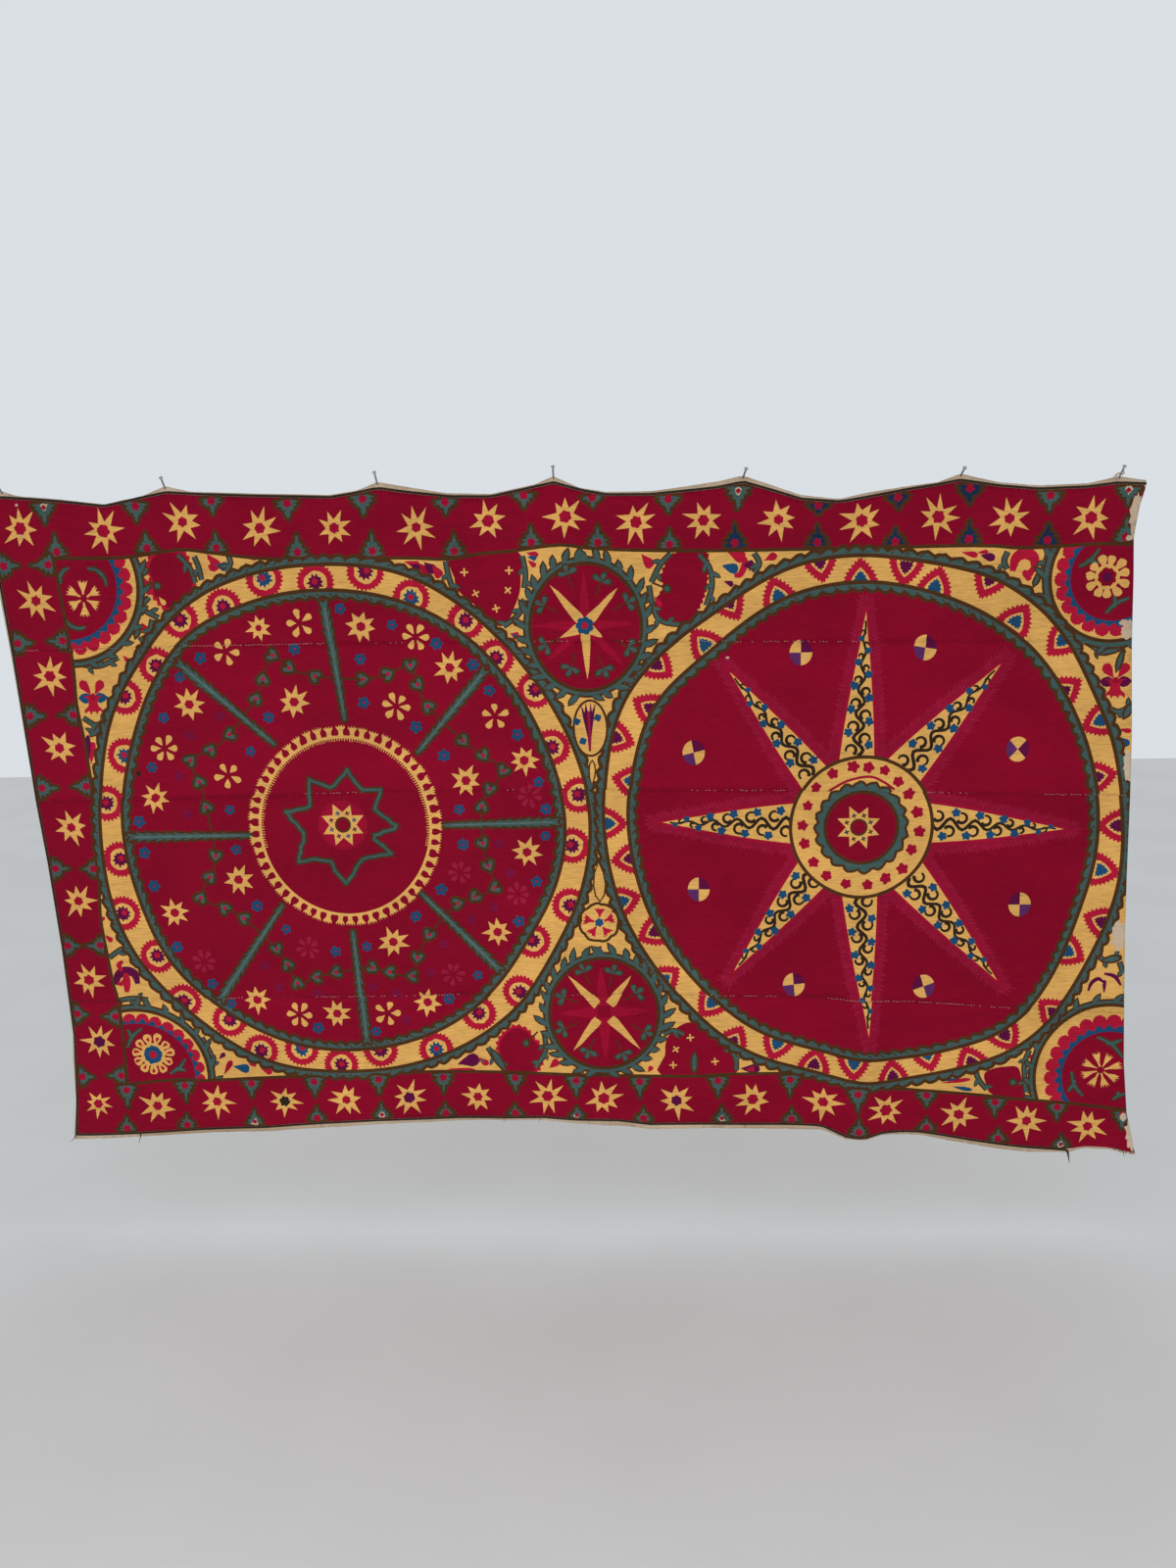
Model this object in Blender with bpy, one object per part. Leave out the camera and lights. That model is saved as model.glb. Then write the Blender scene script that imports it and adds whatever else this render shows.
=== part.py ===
"""Suzani: four embroidered cotton strips, a lining and a braid edging, hung by its top edge on seven steel pins.

Metres, Z up. The face looks along -Y and X runs along the width. The tables give heights above the cloth's
lowest corner, and the model's origin is on the hanging line, HANG_LINE above it. The hung shape is a height
field: each point (x, z) of the cloth stands forward of its hanging plane by lift(x, z).
"""
import bpy
import numpy as np

# Driving dimensions in metres
HANG_LINE = 1.510
CLOTH_THICK = 0.0012
LINING_THICK = 0.0010
LAYER_GAP = 0.0005
SEAM_GAP = 0.0004
BRAID_WIDTH = 0.0055
BRAID_THICK = 0.0020
LOOSE_END = 0.030
LOOSE_END_X = 1.088
COLUMNS = 60
ROWS = {"strip_1": 4, "strip_2": 4, "strip_3": 5, "strip_4": 4}
SAG_FORWARD = 0.013
SAG_FADE = 0.16
PIN_ABOVE_BRAID = 0.0048
PIN_HOLE = 0.0050
PIN_SHANK = 0.0040
PIN_HEAD = 0.0085
PIN_HEAD_THICK = 0.0014
PIN_SIDES = 12
PIN_BEHIND = 0.016

# Worked-out sizes
HALF_CLOTH = CLOTH_THICK / 2
LINING_FRONT = HALF_CLOTH + LAYER_GAP
LINING_BACK = LINING_FRONT + LINING_THICK
BRAID_BACK = HALF_CLOTH
BRAID_FRONT = BRAID_BACK - BRAID_THICK
BRAID_NEAR = SEAM_GAP
BRAID_FAR = BRAID_NEAR + BRAID_WIDTH

# The cloth's top edge, high at each pin and sagging between: x, z
TOP_EDGE = (
    (-1.262, 1.499), (-1.205, 1.498), (-1.08, 1.486), (-0.98, 1.473), (-0.91, 1.487), (-0.852, 1.499),
    (-0.78, 1.493), (-0.66, 1.486), (-0.50, 1.479), (-0.45, 1.486), (-0.400, 1.496), (-0.34, 1.486),
    (-0.25, 1.474), (-0.16, 1.471), (-0.10, 1.483), (-0.030, 1.497), (0.03, 1.479), (0.08, 1.469),
    (0.17, 1.467), (0.25, 1.473), (0.31, 1.478), (0.362, 1.488), (0.42, 1.470), (0.48, 1.450),
    (0.56, 1.442), (0.62, 1.451), (0.70, 1.464), (0.76, 1.472), (0.806, 1.480), (0.88, 1.466),
    (0.96, 1.457), (1.06, 1.459), (1.124, 1.466), (1.185, 1.462),
)
# The three seams from the top down, and the cloth's bottom edge: x, z
SEAM_1 = ((-1.22, 1.176), (-0.90, 1.179), (-0.50, 1.178), (0.00, 1.172), (0.60, 1.158), (1.16, 1.149))
SEAM_2 = ((-1.21, 0.843), (-0.90, 0.846), (-0.36, 0.856), (0.10, 0.850), (0.50, 0.841), (1.18, 0.820))
SEAM_3 = (
    (-1.18, 0.378), (-0.70, 0.384), (-0.30, 0.387), (0.10, 0.386), (0.50, 0.376), (0.90, 0.352), (1.20, 0.332),
)
BOTTOM_EDGE = (
    (-1.185, 0.057), (-1.05, 0.061), (-0.90, 0.068), (-0.74, 0.071), (-0.60, 0.083), (-0.47, 0.091),
    (-0.28, 0.096), (-0.18, 0.095), (-0.09, 0.098), (-0.02, 0.092), (0.08, 0.088), (0.15, 0.078),
    (0.28, 0.080), (0.44, 0.077), (0.54, 0.073), (0.59, 0.053), (0.63, 0.051), (0.67, 0.060),
    (0.76, 0.057), (0.83, 0.047), (0.91, 0.035), (1.00, 0.022), (1.09, 0.012), (1.13, 0.018),
    (1.18, 0.017), (1.235, 0.006),
)
# The two side edges: z, x
LEFT_EDGE = (
    (0.05, -1.183), (0.14, -1.172), (0.30, -1.163), (0.50, -1.170), (0.70, -1.183), (0.845, -1.196),
    (1.00, -1.205), (1.17, -1.215), (1.33, -1.228), (1.51, -1.245),
)
RIGHT_EDGE = (
    (0.00, 1.236), (0.10, 1.212), (0.22, 1.200), (0.35, 1.194), (0.52, 1.187), (0.66, 1.184), (0.82, 1.182),
    (0.96, 1.178), (1.14, 1.168), (1.28, 1.164), (1.36, 1.160), (1.42, 1.168), (1.48, 1.184),
)
# How far the lining shows past the braid: x and width at the top and bottom, z and width at the left
LINING_TOP = (
    (-1.25, 0.003), (-1.205, 0.010), (-1.17, 0.002), (-0.90, 0.001), (-0.852, 0.010), (-0.80, 0.002),
    (-0.44, 0.002), (-0.400, 0.010), (-0.34, 0.008), (-0.27, 0.004), (-0.07, 0.002), (-0.030, 0.010),
    (0.02, 0.002), (0.20, 0.004), (0.30, 0.009), (0.362, 0.010), (0.45, 0.006), (0.55, 0.003),
    (0.62, 0.006), (0.76, 0.002), (0.806, 0.010), (0.88, 0.004), (1.06, 0.004), (1.124, 0.010),
    (1.18, 0.004),
)
LINING_BOTTOM = (
    (-1.18, 0.009), (-1.00, 0.007), (-0.80, 0.008), (-0.60, 0.010), (-0.40, 0.007), (-0.20, 0.005),
    (-0.05, 0.006), (0.06, 0.011), (0.30, 0.009), (0.50, 0.010), (0.62, 0.003), (0.85, 0.009),
    (1.00, 0.010), (1.09, 0.004), (1.12, 0.000), (1.23, 0.000),
)
LINING_LEFT = ((0.05, 0.004), (0.12, 0.001), (0.24, 0.004), (0.34, 0.002), (0.90, 0.001), (1.30, 0.004))
LINING_RIGHT = 0.001

# Hanging pins: name, x where the pin pierces the lining, reach forward, rise, sideways lean
PIN_TABLE = (
    ("pin_1", -1.205, 0.021, 0.021, 0.000),
    ("pin_2", -0.852, 0.021, 0.021, 0.001),
    ("pin_3", -0.400, 0.020, 0.023, -0.001),
    ("pin_4", -0.030, 0.021, 0.023, 0.001),
    ("pin_5", 0.362, 0.022, 0.017, 0.005),
    ("pin_6", 0.806, 0.021, 0.015, 0.003),
    ("pin_7", 1.124, 0.023, 0.023, 0.002),
)

# Upright folds: x at the top, x at the bottom, half width, height at the top, height at the bottom
FOLD_TABLE = (
    (-1.15, -1.16, 0.09, 0.001, 0.006),
    (-0.92, -1.02, 0.16, 0.002, 0.010),
    (-0.50, -0.46, 0.20, 0.001, 0.009),
    (-0.07, -0.04, 0.15, 0.004, 0.011),
    (0.27, 0.30, 0.17, 0.001, 0.008),
    (0.60, 0.625, 0.065, 0.000, 0.024),
    (0.98, 0.93, 0.14, 0.003, 0.012),
    (1.20, 1.23, 0.07, 0.003, 0.012),
)
MAIN_FOLD = FOLD_TABLE[5]

# Colours of cloth, lining, braid and steel
EMBROIDERY_RED = (0.30, 0.005, 0.03)
RAW_COTTON = (0.62, 0.50, 0.36)
BRAID_BROWN = (0.05, 0.025, 0.012)
STEEL_GREY = (0.35, 0.35, 0.36)


def along(table, value):
    """Reads a two-column table at a value."""
    columns = np.array(table, dtype=float)
    return float(np.interp(value, columns[:, 0], columns[:, 1]))


def sag(x):
    """How far the top edge bows forward between its pins, 0 at a pin and 1 halfway."""
    places = [row[1] for row in PIN_TABLE]
    for left, right in zip(places, places[1:]):
        if left <= x <= right:
            return float(np.sin(np.pi * (x - left) / (right - left)))
    return 0.0


def lift(x, z):
    """How far a point of the hung cloth stands forward of the hanging plane."""
    top = along(TOP_EDGE, x)
    bottom = along(BOTTOM_EDGE, x)
    down = min(max((top - z) / (top - bottom), 0.0), 1.0)
    height = SAG_FORWARD * sag(x) * float(np.exp(-max(top - z, 0.0) / SAG_FADE))
    for x_top, x_bottom, half_width, at_top, at_bottom in FOLD_TABLE:
        middle = x_top + (x_bottom - x_top) * down
        share = float(np.exp(-(((x - middle) / half_width) ** 2)))
        height += share * (at_top + (at_bottom - at_top) * down**1.5)
    return height


def side_x(share, z):
    """x at a share of the way from the left edge to the right edge, at a height z."""
    left = along(LEFT_EDGE, z)
    return left + share * (along(RIGHT_EDGE, z) - left)


def edge_point(share, table, offset=0.0):
    """Point of an edge or seam table at a share of the width, moved up by an offset."""
    z = along(table, 0.0)
    x = side_x(share, z)
    for _ in range(4):
        z = along(table, x)
        x = side_x(share, z)
    return x, z + offset


def share_of(x, table):
    """Share of the width at which an edge table passes a given x."""
    z = along(table, x)
    left = along(LEFT_EDGE, z)
    return (x - left) / (along(RIGHT_EDGE, z) - left)


def column_shares():
    """Even shares of the width, each pin and the main fold taking over the share nearest to it."""
    shares = [index / COLUMNS for index in range(COLUMNS + 1)]
    wanted = [share_of(row[1], TOP_EDGE) for row in PIN_TABLE]
    wanted.append(share_of(MAIN_FOLD[1], BOTTOM_EDGE))
    for share in wanted:
        shares[round(share * COLUMNS)] = share
    return shares


def band_grid(upper, lower, upper_offset, lower_offset, rows):
    """Rows of (x, z) points between an upper and a lower line."""
    grid = []
    shares = column_shares()
    for row in range(rows + 1):
        part = row / rows
        line = []
        for share in shares:
            x_up, z_up = edge_point(share, upper, upper_offset)
            x_low, z_low = edge_point(share, lower, lower_offset)
            line.append((x_up + (x_low - x_up) * part, z_up + (z_low - z_up) * part))
        grid.append(line)
    return grid


def strip_lines():
    """Each strip's name and rows with the line above it and the line below it."""
    lines = (TOP_EDGE, SEAM_1, SEAM_2, SEAM_3, BOTTOM_EDGE)
    return [(name, rows, upper, lower) for (name, rows), upper, lower in zip(ROWS.items(), lines, lines[1:])]


def make_object(name, corners, faces, colour, roughness, metallic=0.0):
    """Adds one closed mesh, moved to the hanging line, with its own plain material."""
    mesh = bpy.data.meshes.new(name)
    mesh.from_pydata([(x, y, z - HANG_LINE) for x, y, z in corners], [], faces)
    mesh.update()
    thing = bpy.data.objects.new(name, mesh)
    bpy.context.scene.collection.objects.link(thing)
    material = bpy.data.materials.new(name + "_material")
    material.use_nodes = True
    shader = material.node_tree.nodes["Principled BSDF"]
    shader.inputs["Base Color"].default_value = (*colour, 1.0)
    shader.inputs["Roughness"].default_value = roughness
    shader.inputs["Metallic"].default_value = metallic
    mesh.materials.append(material)
    return thing


def sheet_from_grid(name, grid, front, back, colour):
    """A closed sheet over a grid of (x, z) points, its two sides given as depths behind the cloth's middle."""
    rows = len(grid)
    columns = len(grid[0])
    corners = []
    for depth in (front, back):
        for line in grid:
            for x, z in line:
                corners.append((x, depth - lift(x, z), z))
    count = rows * columns
    faces = []
    for row in range(rows - 1):
        for column in range(columns - 1):
            a = row * columns + column
            b = a + 1
            c = a + columns
            d = c + 1
            faces += [(a, c, d), (a, d, b)]
            faces += [(count + a, count + d, count + c), (count + a, count + b, count + d)]
    ring = list(range(columns))
    ring += [row * columns + columns - 1 for row in range(1, rows)]
    ring += [(rows - 1) * columns + column for column in range(columns - 2, -1, -1)]
    ring += [row * columns for row in range(rows - 2, 0, -1)]
    for here, there in zip(ring, ring[1:] + ring[:1]):
        faces += [(here, there, count + there), (here, count + there, count + here)]
    return make_object(name, corners, faces, colour, 0.85)


def make_strips():
    """The four embroidered strips, a hair apart at their seams."""
    half_gap = SEAM_GAP / 2
    for name, rows, upper, lower in strip_lines():
        upper_offset = 0.0 if upper is TOP_EDGE else -half_gap
        lower_offset = 0.0 if lower is BOTTOM_EDGE else half_gap
        grid = band_grid(upper, lower, upper_offset, lower_offset, rows)
        sheet_from_grid(name, grid, -HALF_CLOTH, HALF_CLOTH, EMBROIDERY_RED)


def lining_grid():
    """The strips' own rows and columns, with one more row or column of lining outside each edge."""
    grid = []
    for name, rows, upper, lower in strip_lines():
        band = band_grid(upper, lower, 0.0, 0.0, rows)
        grid += band if upper is TOP_EDGE else band[1:]
    above = [(x, z + BRAID_FAR + along(LINING_TOP, x)) for x, z in grid[0]]
    below = [(x, z - BRAID_FAR - along(LINING_BOTTOM, x)) for x, z in grid[-1]]
    wide = []
    for line in [above] + grid + [below]:
        x_left, z_left = line[0]
        x_right, z_right = line[-1]
        left = (x_left - BRAID_FAR - along(LINING_LEFT, z_left), z_left)
        right = (x_right + LINING_RIGHT, z_right)
        wide.append([left] + line + [right])
    return wide


def make_lining():
    """The lining sheet, pierced where each pin passes."""
    lining = sheet_from_grid("lining", lining_grid(), LINING_FRONT, LINING_BACK, RAW_COTTON)
    radius = PIN_HOLE / 2
    for name, x, reach, rise, lean in PIN_TABLE:
        cutter = make_rod("cutter", pin_path(x, reach, rise, lean), ((0.0, radius), (1.0, radius)))
        change = lining.modifiers.new("hole", "BOOLEAN")
        change.operation = "DIFFERENCE"
        change.solver = "EXACT"
        change.object = cutter
        evaluated = lining.evaluated_get(bpy.context.evaluated_depsgraph_get())
        pierced = bpy.data.meshes.new_from_object(evaluated)
        lining.modifiers.clear()
        lining.data = pierced
        bpy.data.objects.remove(cutter, do_unlink=True)


def pin_path(x, reach, rise, lean):
    """The two ends of a pin's axis: in the wall behind the cloth, and out in front of it."""
    z = along(TOP_EDGE, x) + BRAID_FAR + PIN_ABOVE_BRAID
    middle = np.array((x, (LINING_FRONT + LINING_BACK) / 2 - lift(x, z), z))
    forward = np.array((lean, -reach, rise))
    behind = forward / np.linalg.norm(forward) * PIN_BEHIND
    return middle - behind, middle + forward


def make_rod(name, path, profile):
    """A round steel rod along a path, with a profile of (share of the length, radius)."""
    start, end = path
    axis = (end - start) / np.linalg.norm(end - start)
    side = np.cross(axis, (0.0, 0.0, 1.0))
    side /= np.linalg.norm(side)
    over = np.cross(side, axis)
    corners = []
    for share, radius in profile:
        centre = start + (end - start) * share
        for step in range(PIN_SIDES):
            angle = 2 * np.pi * step / PIN_SIDES
            corners.append(tuple(centre + radius * (np.cos(angle) * side + np.sin(angle) * over)))
    faces = [tuple(range(PIN_SIDES))]
    for ring in range(len(profile) - 1):
        low = ring * PIN_SIDES
        high = low + PIN_SIDES
        for step in range(PIN_SIDES):
            after = (step + 1) % PIN_SIDES
            faces.append((low + step, high + step, high + after, low + after))
    last = (len(profile) - 1) * PIN_SIDES
    faces.append(tuple(last + step for step in range(PIN_SIDES - 1, -1, -1)))
    return make_object(name, corners, faces, STEEL_GREY, 0.4, 1.0)


def make_pins():
    """Steel nails with a flat head in front and a blunt point on the wall side."""
    shank = PIN_SHANK / 2
    head = PIN_HEAD / 2
    for name, x, reach, rise, lean in PIN_TABLE:
        start, end = pin_path(x, reach, rise, lean)
        neck = 1.0 - PIN_HEAD_THICK / float(np.linalg.norm(end - start))
        profile = ((0.0, shank * 0.25), (0.12, shank), (neck - 0.02, shank), (neck, head), (1.0, head * 0.9))
        make_rod(name, (start, end), profile)


def braid_line():
    """The cloth's edge from the top right corner over the left side to the loose end at the bottom."""
    shares = column_shares()
    line = [edge_point(share, TOP_EDGE) for share in reversed(shares)]
    for name, rows, upper, lower in strip_lines():
        line += [row[0] for row in band_grid(upper, lower, 0.0, 0.0, rows)[1:]]
    line += [edge_point(share, BOTTOM_EDGE) for share in shares[1:]]
    bottom_start = len(line) - len(shares) + 1
    return np.array(line[:bottom_start] + [point for point in line[bottom_start:] if point[0] < LOOSE_END_X])


def offset_line(line, distance):
    """Moves an open line sideways to its right by a distance, with mitred corners."""
    moved = []
    for index, point in enumerate(line):
        before = line[max(index - 1, 0)]
        after = line[min(index + 1, len(line) - 1)]
        normals = []
        for start, end in ((before, point), (point, after)):
            step = end - start
            size = float(np.linalg.norm(step))
            if size > 0.0:
                normals.append(np.array((step[1], -step[0])) / size)
        first, last = normals[0], normals[-1]
        moved.append(point + distance * (first + last) / (1.0 + float(first @ last)))
    return moved


def make_braid():
    """The braid as one long flat band around three sides, its loose end turned down and frayed thin."""
    line = braid_line()
    near = offset_line(line, BRAID_NEAR)
    far = offset_line(line, BRAID_FAR)
    end = (near[-1] + far[-1]) / 2
    for part, spread in ((0.35, 0.4), (0.7, 0.3), (1.0, 0.12)):
        centre = end + np.array((0.010 + 0.004 * part, -0.004 - LOOSE_END * part))
        half = np.array((BRAID_WIDTH * spread, 0.0))
        near.append(centre + half)
        far.append(centre - half)
    corners = []
    for inner, outer in zip(near, far):
        for (x, z), depth in ((inner, BRAID_FRONT), (outer, BRAID_FRONT), (outer, BRAID_BACK), (inner, BRAID_BACK)):
            corners.append((float(x), depth - lift(float(x), float(z)), float(z)))
    faces = [(0, 2, 1), (0, 3, 2)]
    for station in range(len(near) - 1):
        here = station * 4
        there = here + 4
        for corner in range(4):
            after = (corner + 1) % 4
            faces.append((here + corner, there + after, there + corner))
            faces.append((here + corner, here + after, there + after))
    last = (len(near) - 1) * 4
    faces += [(last, last + 1, last + 2), (last, last + 2, last + 3)]
    make_object("edging", corners, faces, BRAID_BROWN, 0.8)


def main():
    for thing in list(bpy.data.objects):
        bpy.data.objects.remove(thing, do_unlink=True)
    make_strips()
    make_lining()
    make_braid()
    make_pins()


main()
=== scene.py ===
"""Looks of the suzani: an embroidered cotton textile of four strips with a lining and a braid, on steel pins.

The tables give places on the hung cloth in metres: x across the width, z above the cloth's lowest corner. The
embroidery is drawn as flat shapes, a later shape over an earlier one, and each strip is then cut into faces
along those shapes and laid on the folds of the cloth.
"""
import math
import random

import bpy
import numpy as np
from mathutils import Matrix, Vector
from mathutils.geometry import delaunay_2d_cdt


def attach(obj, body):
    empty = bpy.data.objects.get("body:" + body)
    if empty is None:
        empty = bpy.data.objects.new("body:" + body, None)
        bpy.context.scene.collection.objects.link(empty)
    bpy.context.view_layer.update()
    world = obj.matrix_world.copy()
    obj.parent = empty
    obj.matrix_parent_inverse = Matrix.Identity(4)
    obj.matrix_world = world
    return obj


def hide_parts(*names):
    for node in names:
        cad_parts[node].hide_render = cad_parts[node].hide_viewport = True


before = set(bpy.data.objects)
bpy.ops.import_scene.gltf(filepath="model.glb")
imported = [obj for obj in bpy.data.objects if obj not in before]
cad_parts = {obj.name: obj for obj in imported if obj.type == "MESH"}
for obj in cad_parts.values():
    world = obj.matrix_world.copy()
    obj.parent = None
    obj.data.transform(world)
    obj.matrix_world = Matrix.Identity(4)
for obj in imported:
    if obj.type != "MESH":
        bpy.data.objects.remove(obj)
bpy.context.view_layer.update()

# Driving dimensions in metres, the same as the part's
HANG_LINE = 1.510
CLOTH_THICK = 0.0012
LINING_THICK = 0.0010
LAYER_GAP = 0.0005
SEAM_GAP = 0.0004
BRAID_WIDTH = 0.0055
BRAID_THICK = 0.0020
LOOSE_END_X = 1.088
LOOSE_END = 0.030
SAG_FORWARD = 0.013
SAG_FADE = 0.16
PIN_X = (-1.205, -0.852, -0.400, -0.030, 0.362, 0.806, 1.124)

# Worked-out sizes
HALF_CLOTH = CLOTH_THICK / 2
LINING_FRONT = HALF_CLOTH + LAYER_GAP
LINING_BACK = LINING_FRONT + LINING_THICK

# The cloth's top edge, high at each pin and sagging between: x, z
TOP_EDGE = (
    (-1.262, 1.499), (-1.205, 1.498), (-1.08, 1.486), (-0.98, 1.473), (-0.91, 1.487), (-0.852, 1.499),
    (-0.78, 1.493), (-0.66, 1.486), (-0.50, 1.479), (-0.45, 1.486), (-0.400, 1.496), (-0.34, 1.486),
    (-0.25, 1.474), (-0.16, 1.471), (-0.10, 1.483), (-0.030, 1.497), (0.03, 1.479), (0.08, 1.469),
    (0.17, 1.467), (0.25, 1.473), (0.31, 1.478), (0.362, 1.488), (0.42, 1.470), (0.48, 1.450),
    (0.56, 1.442), (0.62, 1.451), (0.70, 1.464), (0.76, 1.472), (0.806, 1.480), (0.88, 1.466),
    (0.96, 1.457), (1.06, 1.459), (1.124, 1.466), (1.185, 1.462),
)
# The three seams from the top down, and the cloth's bottom edge: x, z
SEAM_1 = ((-1.22, 1.176), (-0.90, 1.179), (-0.50, 1.178), (0.00, 1.172), (0.60, 1.158), (1.16, 1.149))
SEAM_2 = ((-1.21, 0.843), (-0.90, 0.846), (-0.36, 0.856), (0.10, 0.850), (0.50, 0.841), (1.18, 0.820))
SEAM_3 = (
    (-1.18, 0.378), (-0.70, 0.384), (-0.30, 0.387), (0.10, 0.386), (0.50, 0.376), (0.90, 0.352),
    (1.20, 0.332),
)
BOTTOM_EDGE = (
    (-1.185, 0.057), (-1.05, 0.061), (-0.90, 0.068), (-0.74, 0.071), (-0.60, 0.083), (-0.47, 0.091),
    (-0.28, 0.096), (-0.18, 0.095), (-0.09, 0.098), (-0.02, 0.092), (0.08, 0.088), (0.15, 0.078),
    (0.28, 0.080), (0.44, 0.077), (0.54, 0.073), (0.59, 0.053), (0.63, 0.051), (0.67, 0.060),
    (0.76, 0.057), (0.83, 0.047), (0.91, 0.035), (1.00, 0.022), (1.09, 0.012), (1.13, 0.018),
    (1.18, 0.017), (1.235, 0.006),
)
# The two side edges: z, x
LEFT_EDGE = (
    (0.05, -1.183), (0.14, -1.172), (0.30, -1.163), (0.50, -1.170), (0.70, -1.183), (0.845, -1.196),
    (1.00, -1.205), (1.17, -1.215), (1.33, -1.228), (1.51, -1.245),
)
RIGHT_EDGE = (
    (0.00, 1.236), (0.10, 1.212), (0.22, 1.200), (0.35, 1.194), (0.52, 1.187), (0.66, 1.184), (0.82, 1.182),
    (0.96, 1.178), (1.14, 1.168), (1.28, 1.164), (1.36, 1.160), (1.42, 1.168), (1.48, 1.184),
)
# How far the lining shows past the braid: x and width at the top and bottom, z and width at the left
LINING_TOP = (
    (-1.25, 0.003), (-1.205, 0.010), (-1.17, 0.002), (-0.90, 0.001), (-0.852, 0.010), (-0.80, 0.002),
    (-0.44, 0.002), (-0.400, 0.010), (-0.34, 0.008), (-0.27, 0.004), (-0.07, 0.002), (-0.030, 0.010),
    (0.02, 0.002), (0.20, 0.004), (0.30, 0.009), (0.362, 0.010), (0.45, 0.006), (0.55, 0.003),
    (0.62, 0.006), (0.76, 0.002), (0.806, 0.010), (0.88, 0.004), (1.06, 0.004), (1.124, 0.010),
    (1.18, 0.004),
)
LINING_BOTTOM = (
    (-1.18, 0.009), (-1.00, 0.007), (-0.80, 0.008), (-0.60, 0.010), (-0.40, 0.007), (-0.20, 0.005),
    (-0.05, 0.006), (0.06, 0.011), (0.30, 0.009), (0.50, 0.010), (0.62, 0.003), (0.85, 0.009),
    (1.00, 0.010), (1.09, 0.004), (1.12, 0.000), (1.23, 0.000),
)
LINING_LEFT = ((0.05, 0.004), (0.12, 0.001), (0.24, 0.004), (0.34, 0.002), (0.90, 0.001), (1.30, 0.004))
LINING_RIGHT = 0.001
# Upright folds: x at the top, x at the bottom, half width, height at the top, height at the bottom
FOLD_TABLE = (
    (-1.15, -1.16, 0.09, 0.001, 0.006),
    (-0.92, -1.02, 0.16, 0.002, 0.010),
    (-0.50, -0.46, 0.20, 0.001, 0.009),
    (-0.07, -0.04, 0.15, 0.004, 0.011),
    (0.27, 0.30, 0.17, 0.001, 0.008),
    (0.60, 0.625, 0.065, 0.000, 0.024),
    (0.98, 0.93, 0.14, 0.003, 0.012),
    (1.20, 1.23, 0.07, 0.003, 0.012),
)

# Camera: place, turns about x, y and z in radians, and focal length for a 36 mm frame
CAMERA_PLACE = (0.136, -2.424, 1.275)
CAMERA_TURNS = (0.169196, -0.0158841, -0.0443125)
CAMERA_LENS = 26.0
# Studio: level of the floor, colour and strength of the light all round, and the softbox
FLOOR_LEVEL = -1.70
WORLD_COLOUR = (0.90, 0.95, 1.0, 1.0)
WORLD_STRENGTH = 0.78
LAMP_SIZE = (3.6, 1.3)
LAMP_POWER = 36.0
LAMP_PLACE = (-0.3, -2.75, -1.20)
LAMP_AIM = (0.2, 3.2, 0.0)

# Colours of the embroidery and the cloth, as linear red, green and blue
COLOURS = {
    "crimson": (0.240, 0.0008, 0.0175),
    "bright_red": (0.435, 0.007, 0.032),
    "rose": (0.335, 0.003, 0.026),
    "halo": (0.280, 0.004, 0.029),
    "pink": (0.315, 0.010, 0.043),
    "yellow": (0.735, 0.395, 0.104),
    "teal": (0.052, 0.103, 0.096),
    "pale_teal": (0.120, 0.170, 0.152),
    "brown": (0.074, 0.029, 0.0085),
    "dark_brown": (0.028, 0.016, 0.009),
    "blue": (0.011, 0.066, 0.150),
    "navy": (0.006, 0.026, 0.070),
    "plum": (0.105, 0.003, 0.045),
    "faint_plum": (0.185, 0.004, 0.040),
    "purple": (0.100, 0.022, 0.110),
    "beige": (0.62, 0.47, 0.33),
}
# Each strip's name, the share that its thread is lighter, and the shift of its pattern
STRIPS = (
    ("strip_1", 1.00, 0.0000),
    ("strip_2", 1.05, 0.0012),
    ("strip_3", 0.96, -0.0010),
    ("strip_4", 1.02, 0.0012),
)
# Colours whose stitching stands above the rest, and by how much
RAISED = ("teal", "pale_teal", "brown", "dark_brown")
RELIEF = 0.0004
# Widths of the brown lines on the rim, ring and field of a large medallion and round the inner ground
RIM_LINE = 0.0072
RING_LINE = 0.0082
FIELD_LINE = 0.0068
BORDER_LINE = 0.0070
# Scallops of the large medallions: depth, and length of one on the outer and the inner ring
SCALLOP_DEPTH = 0.0190
OUTER_PITCH = 0.030
INNER_PITCH = 0.029
RING_POINTS = 360
# Motifs: size of a heart and a clover, steps of a branch, steps from leaf to leaf, hidden root of a spike
HEART_SIZE = 0.030
CLOVER_SIZE = 0.021
LEAFY_STEP = 0.008
LEAF_EVERY = 3
SPIKE_ROOT = 0.03
# Braid: number of strands, length of a turn, swing, lift, half width and half depth of a strand.
# The strands thin toward the end over LOOSE_END.
STRANDS = 3
PLAIT_LENGTH = 0.018
PLAIT_SWING = 0.0016
PLAIT_LIFT = 0.0004
STRAND_WIDE = 0.00115
STRAND_DEEP = 0.00060
# The braid's loose end, from the last point that is sewn down: x, z
BRAID_TAIL = ((0.0045, -0.0005), (0.0080, -0.0030), (0.0100, -0.0100), (0.0115, -0.0200), (0.0140, -0.0330))
STITCH_PITCH = 0.0062
# Cotton weave
WEAVE_CONTRAST = 0.18
WHITE = (1.0, 1.0, 1.0)
# Steps of the grids that carry the folds: front of a strip, lining, back of a sheet
GRID_STEP = 0.016
LINING_STEP = 0.02
BACK_STEP = 0.03
# The hand's unevenness, the same in every run, and the shapes drawn so far as colour and outline
HAND = random.Random(11)
SHAPES = []


# Plain geometry
def along(table, value):
    """Reads a two-column table at a value or at many."""
    columns = np.array(table, dtype=float)
    return np.interp(value, columns[:, 0], columns[:, 1])


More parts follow.
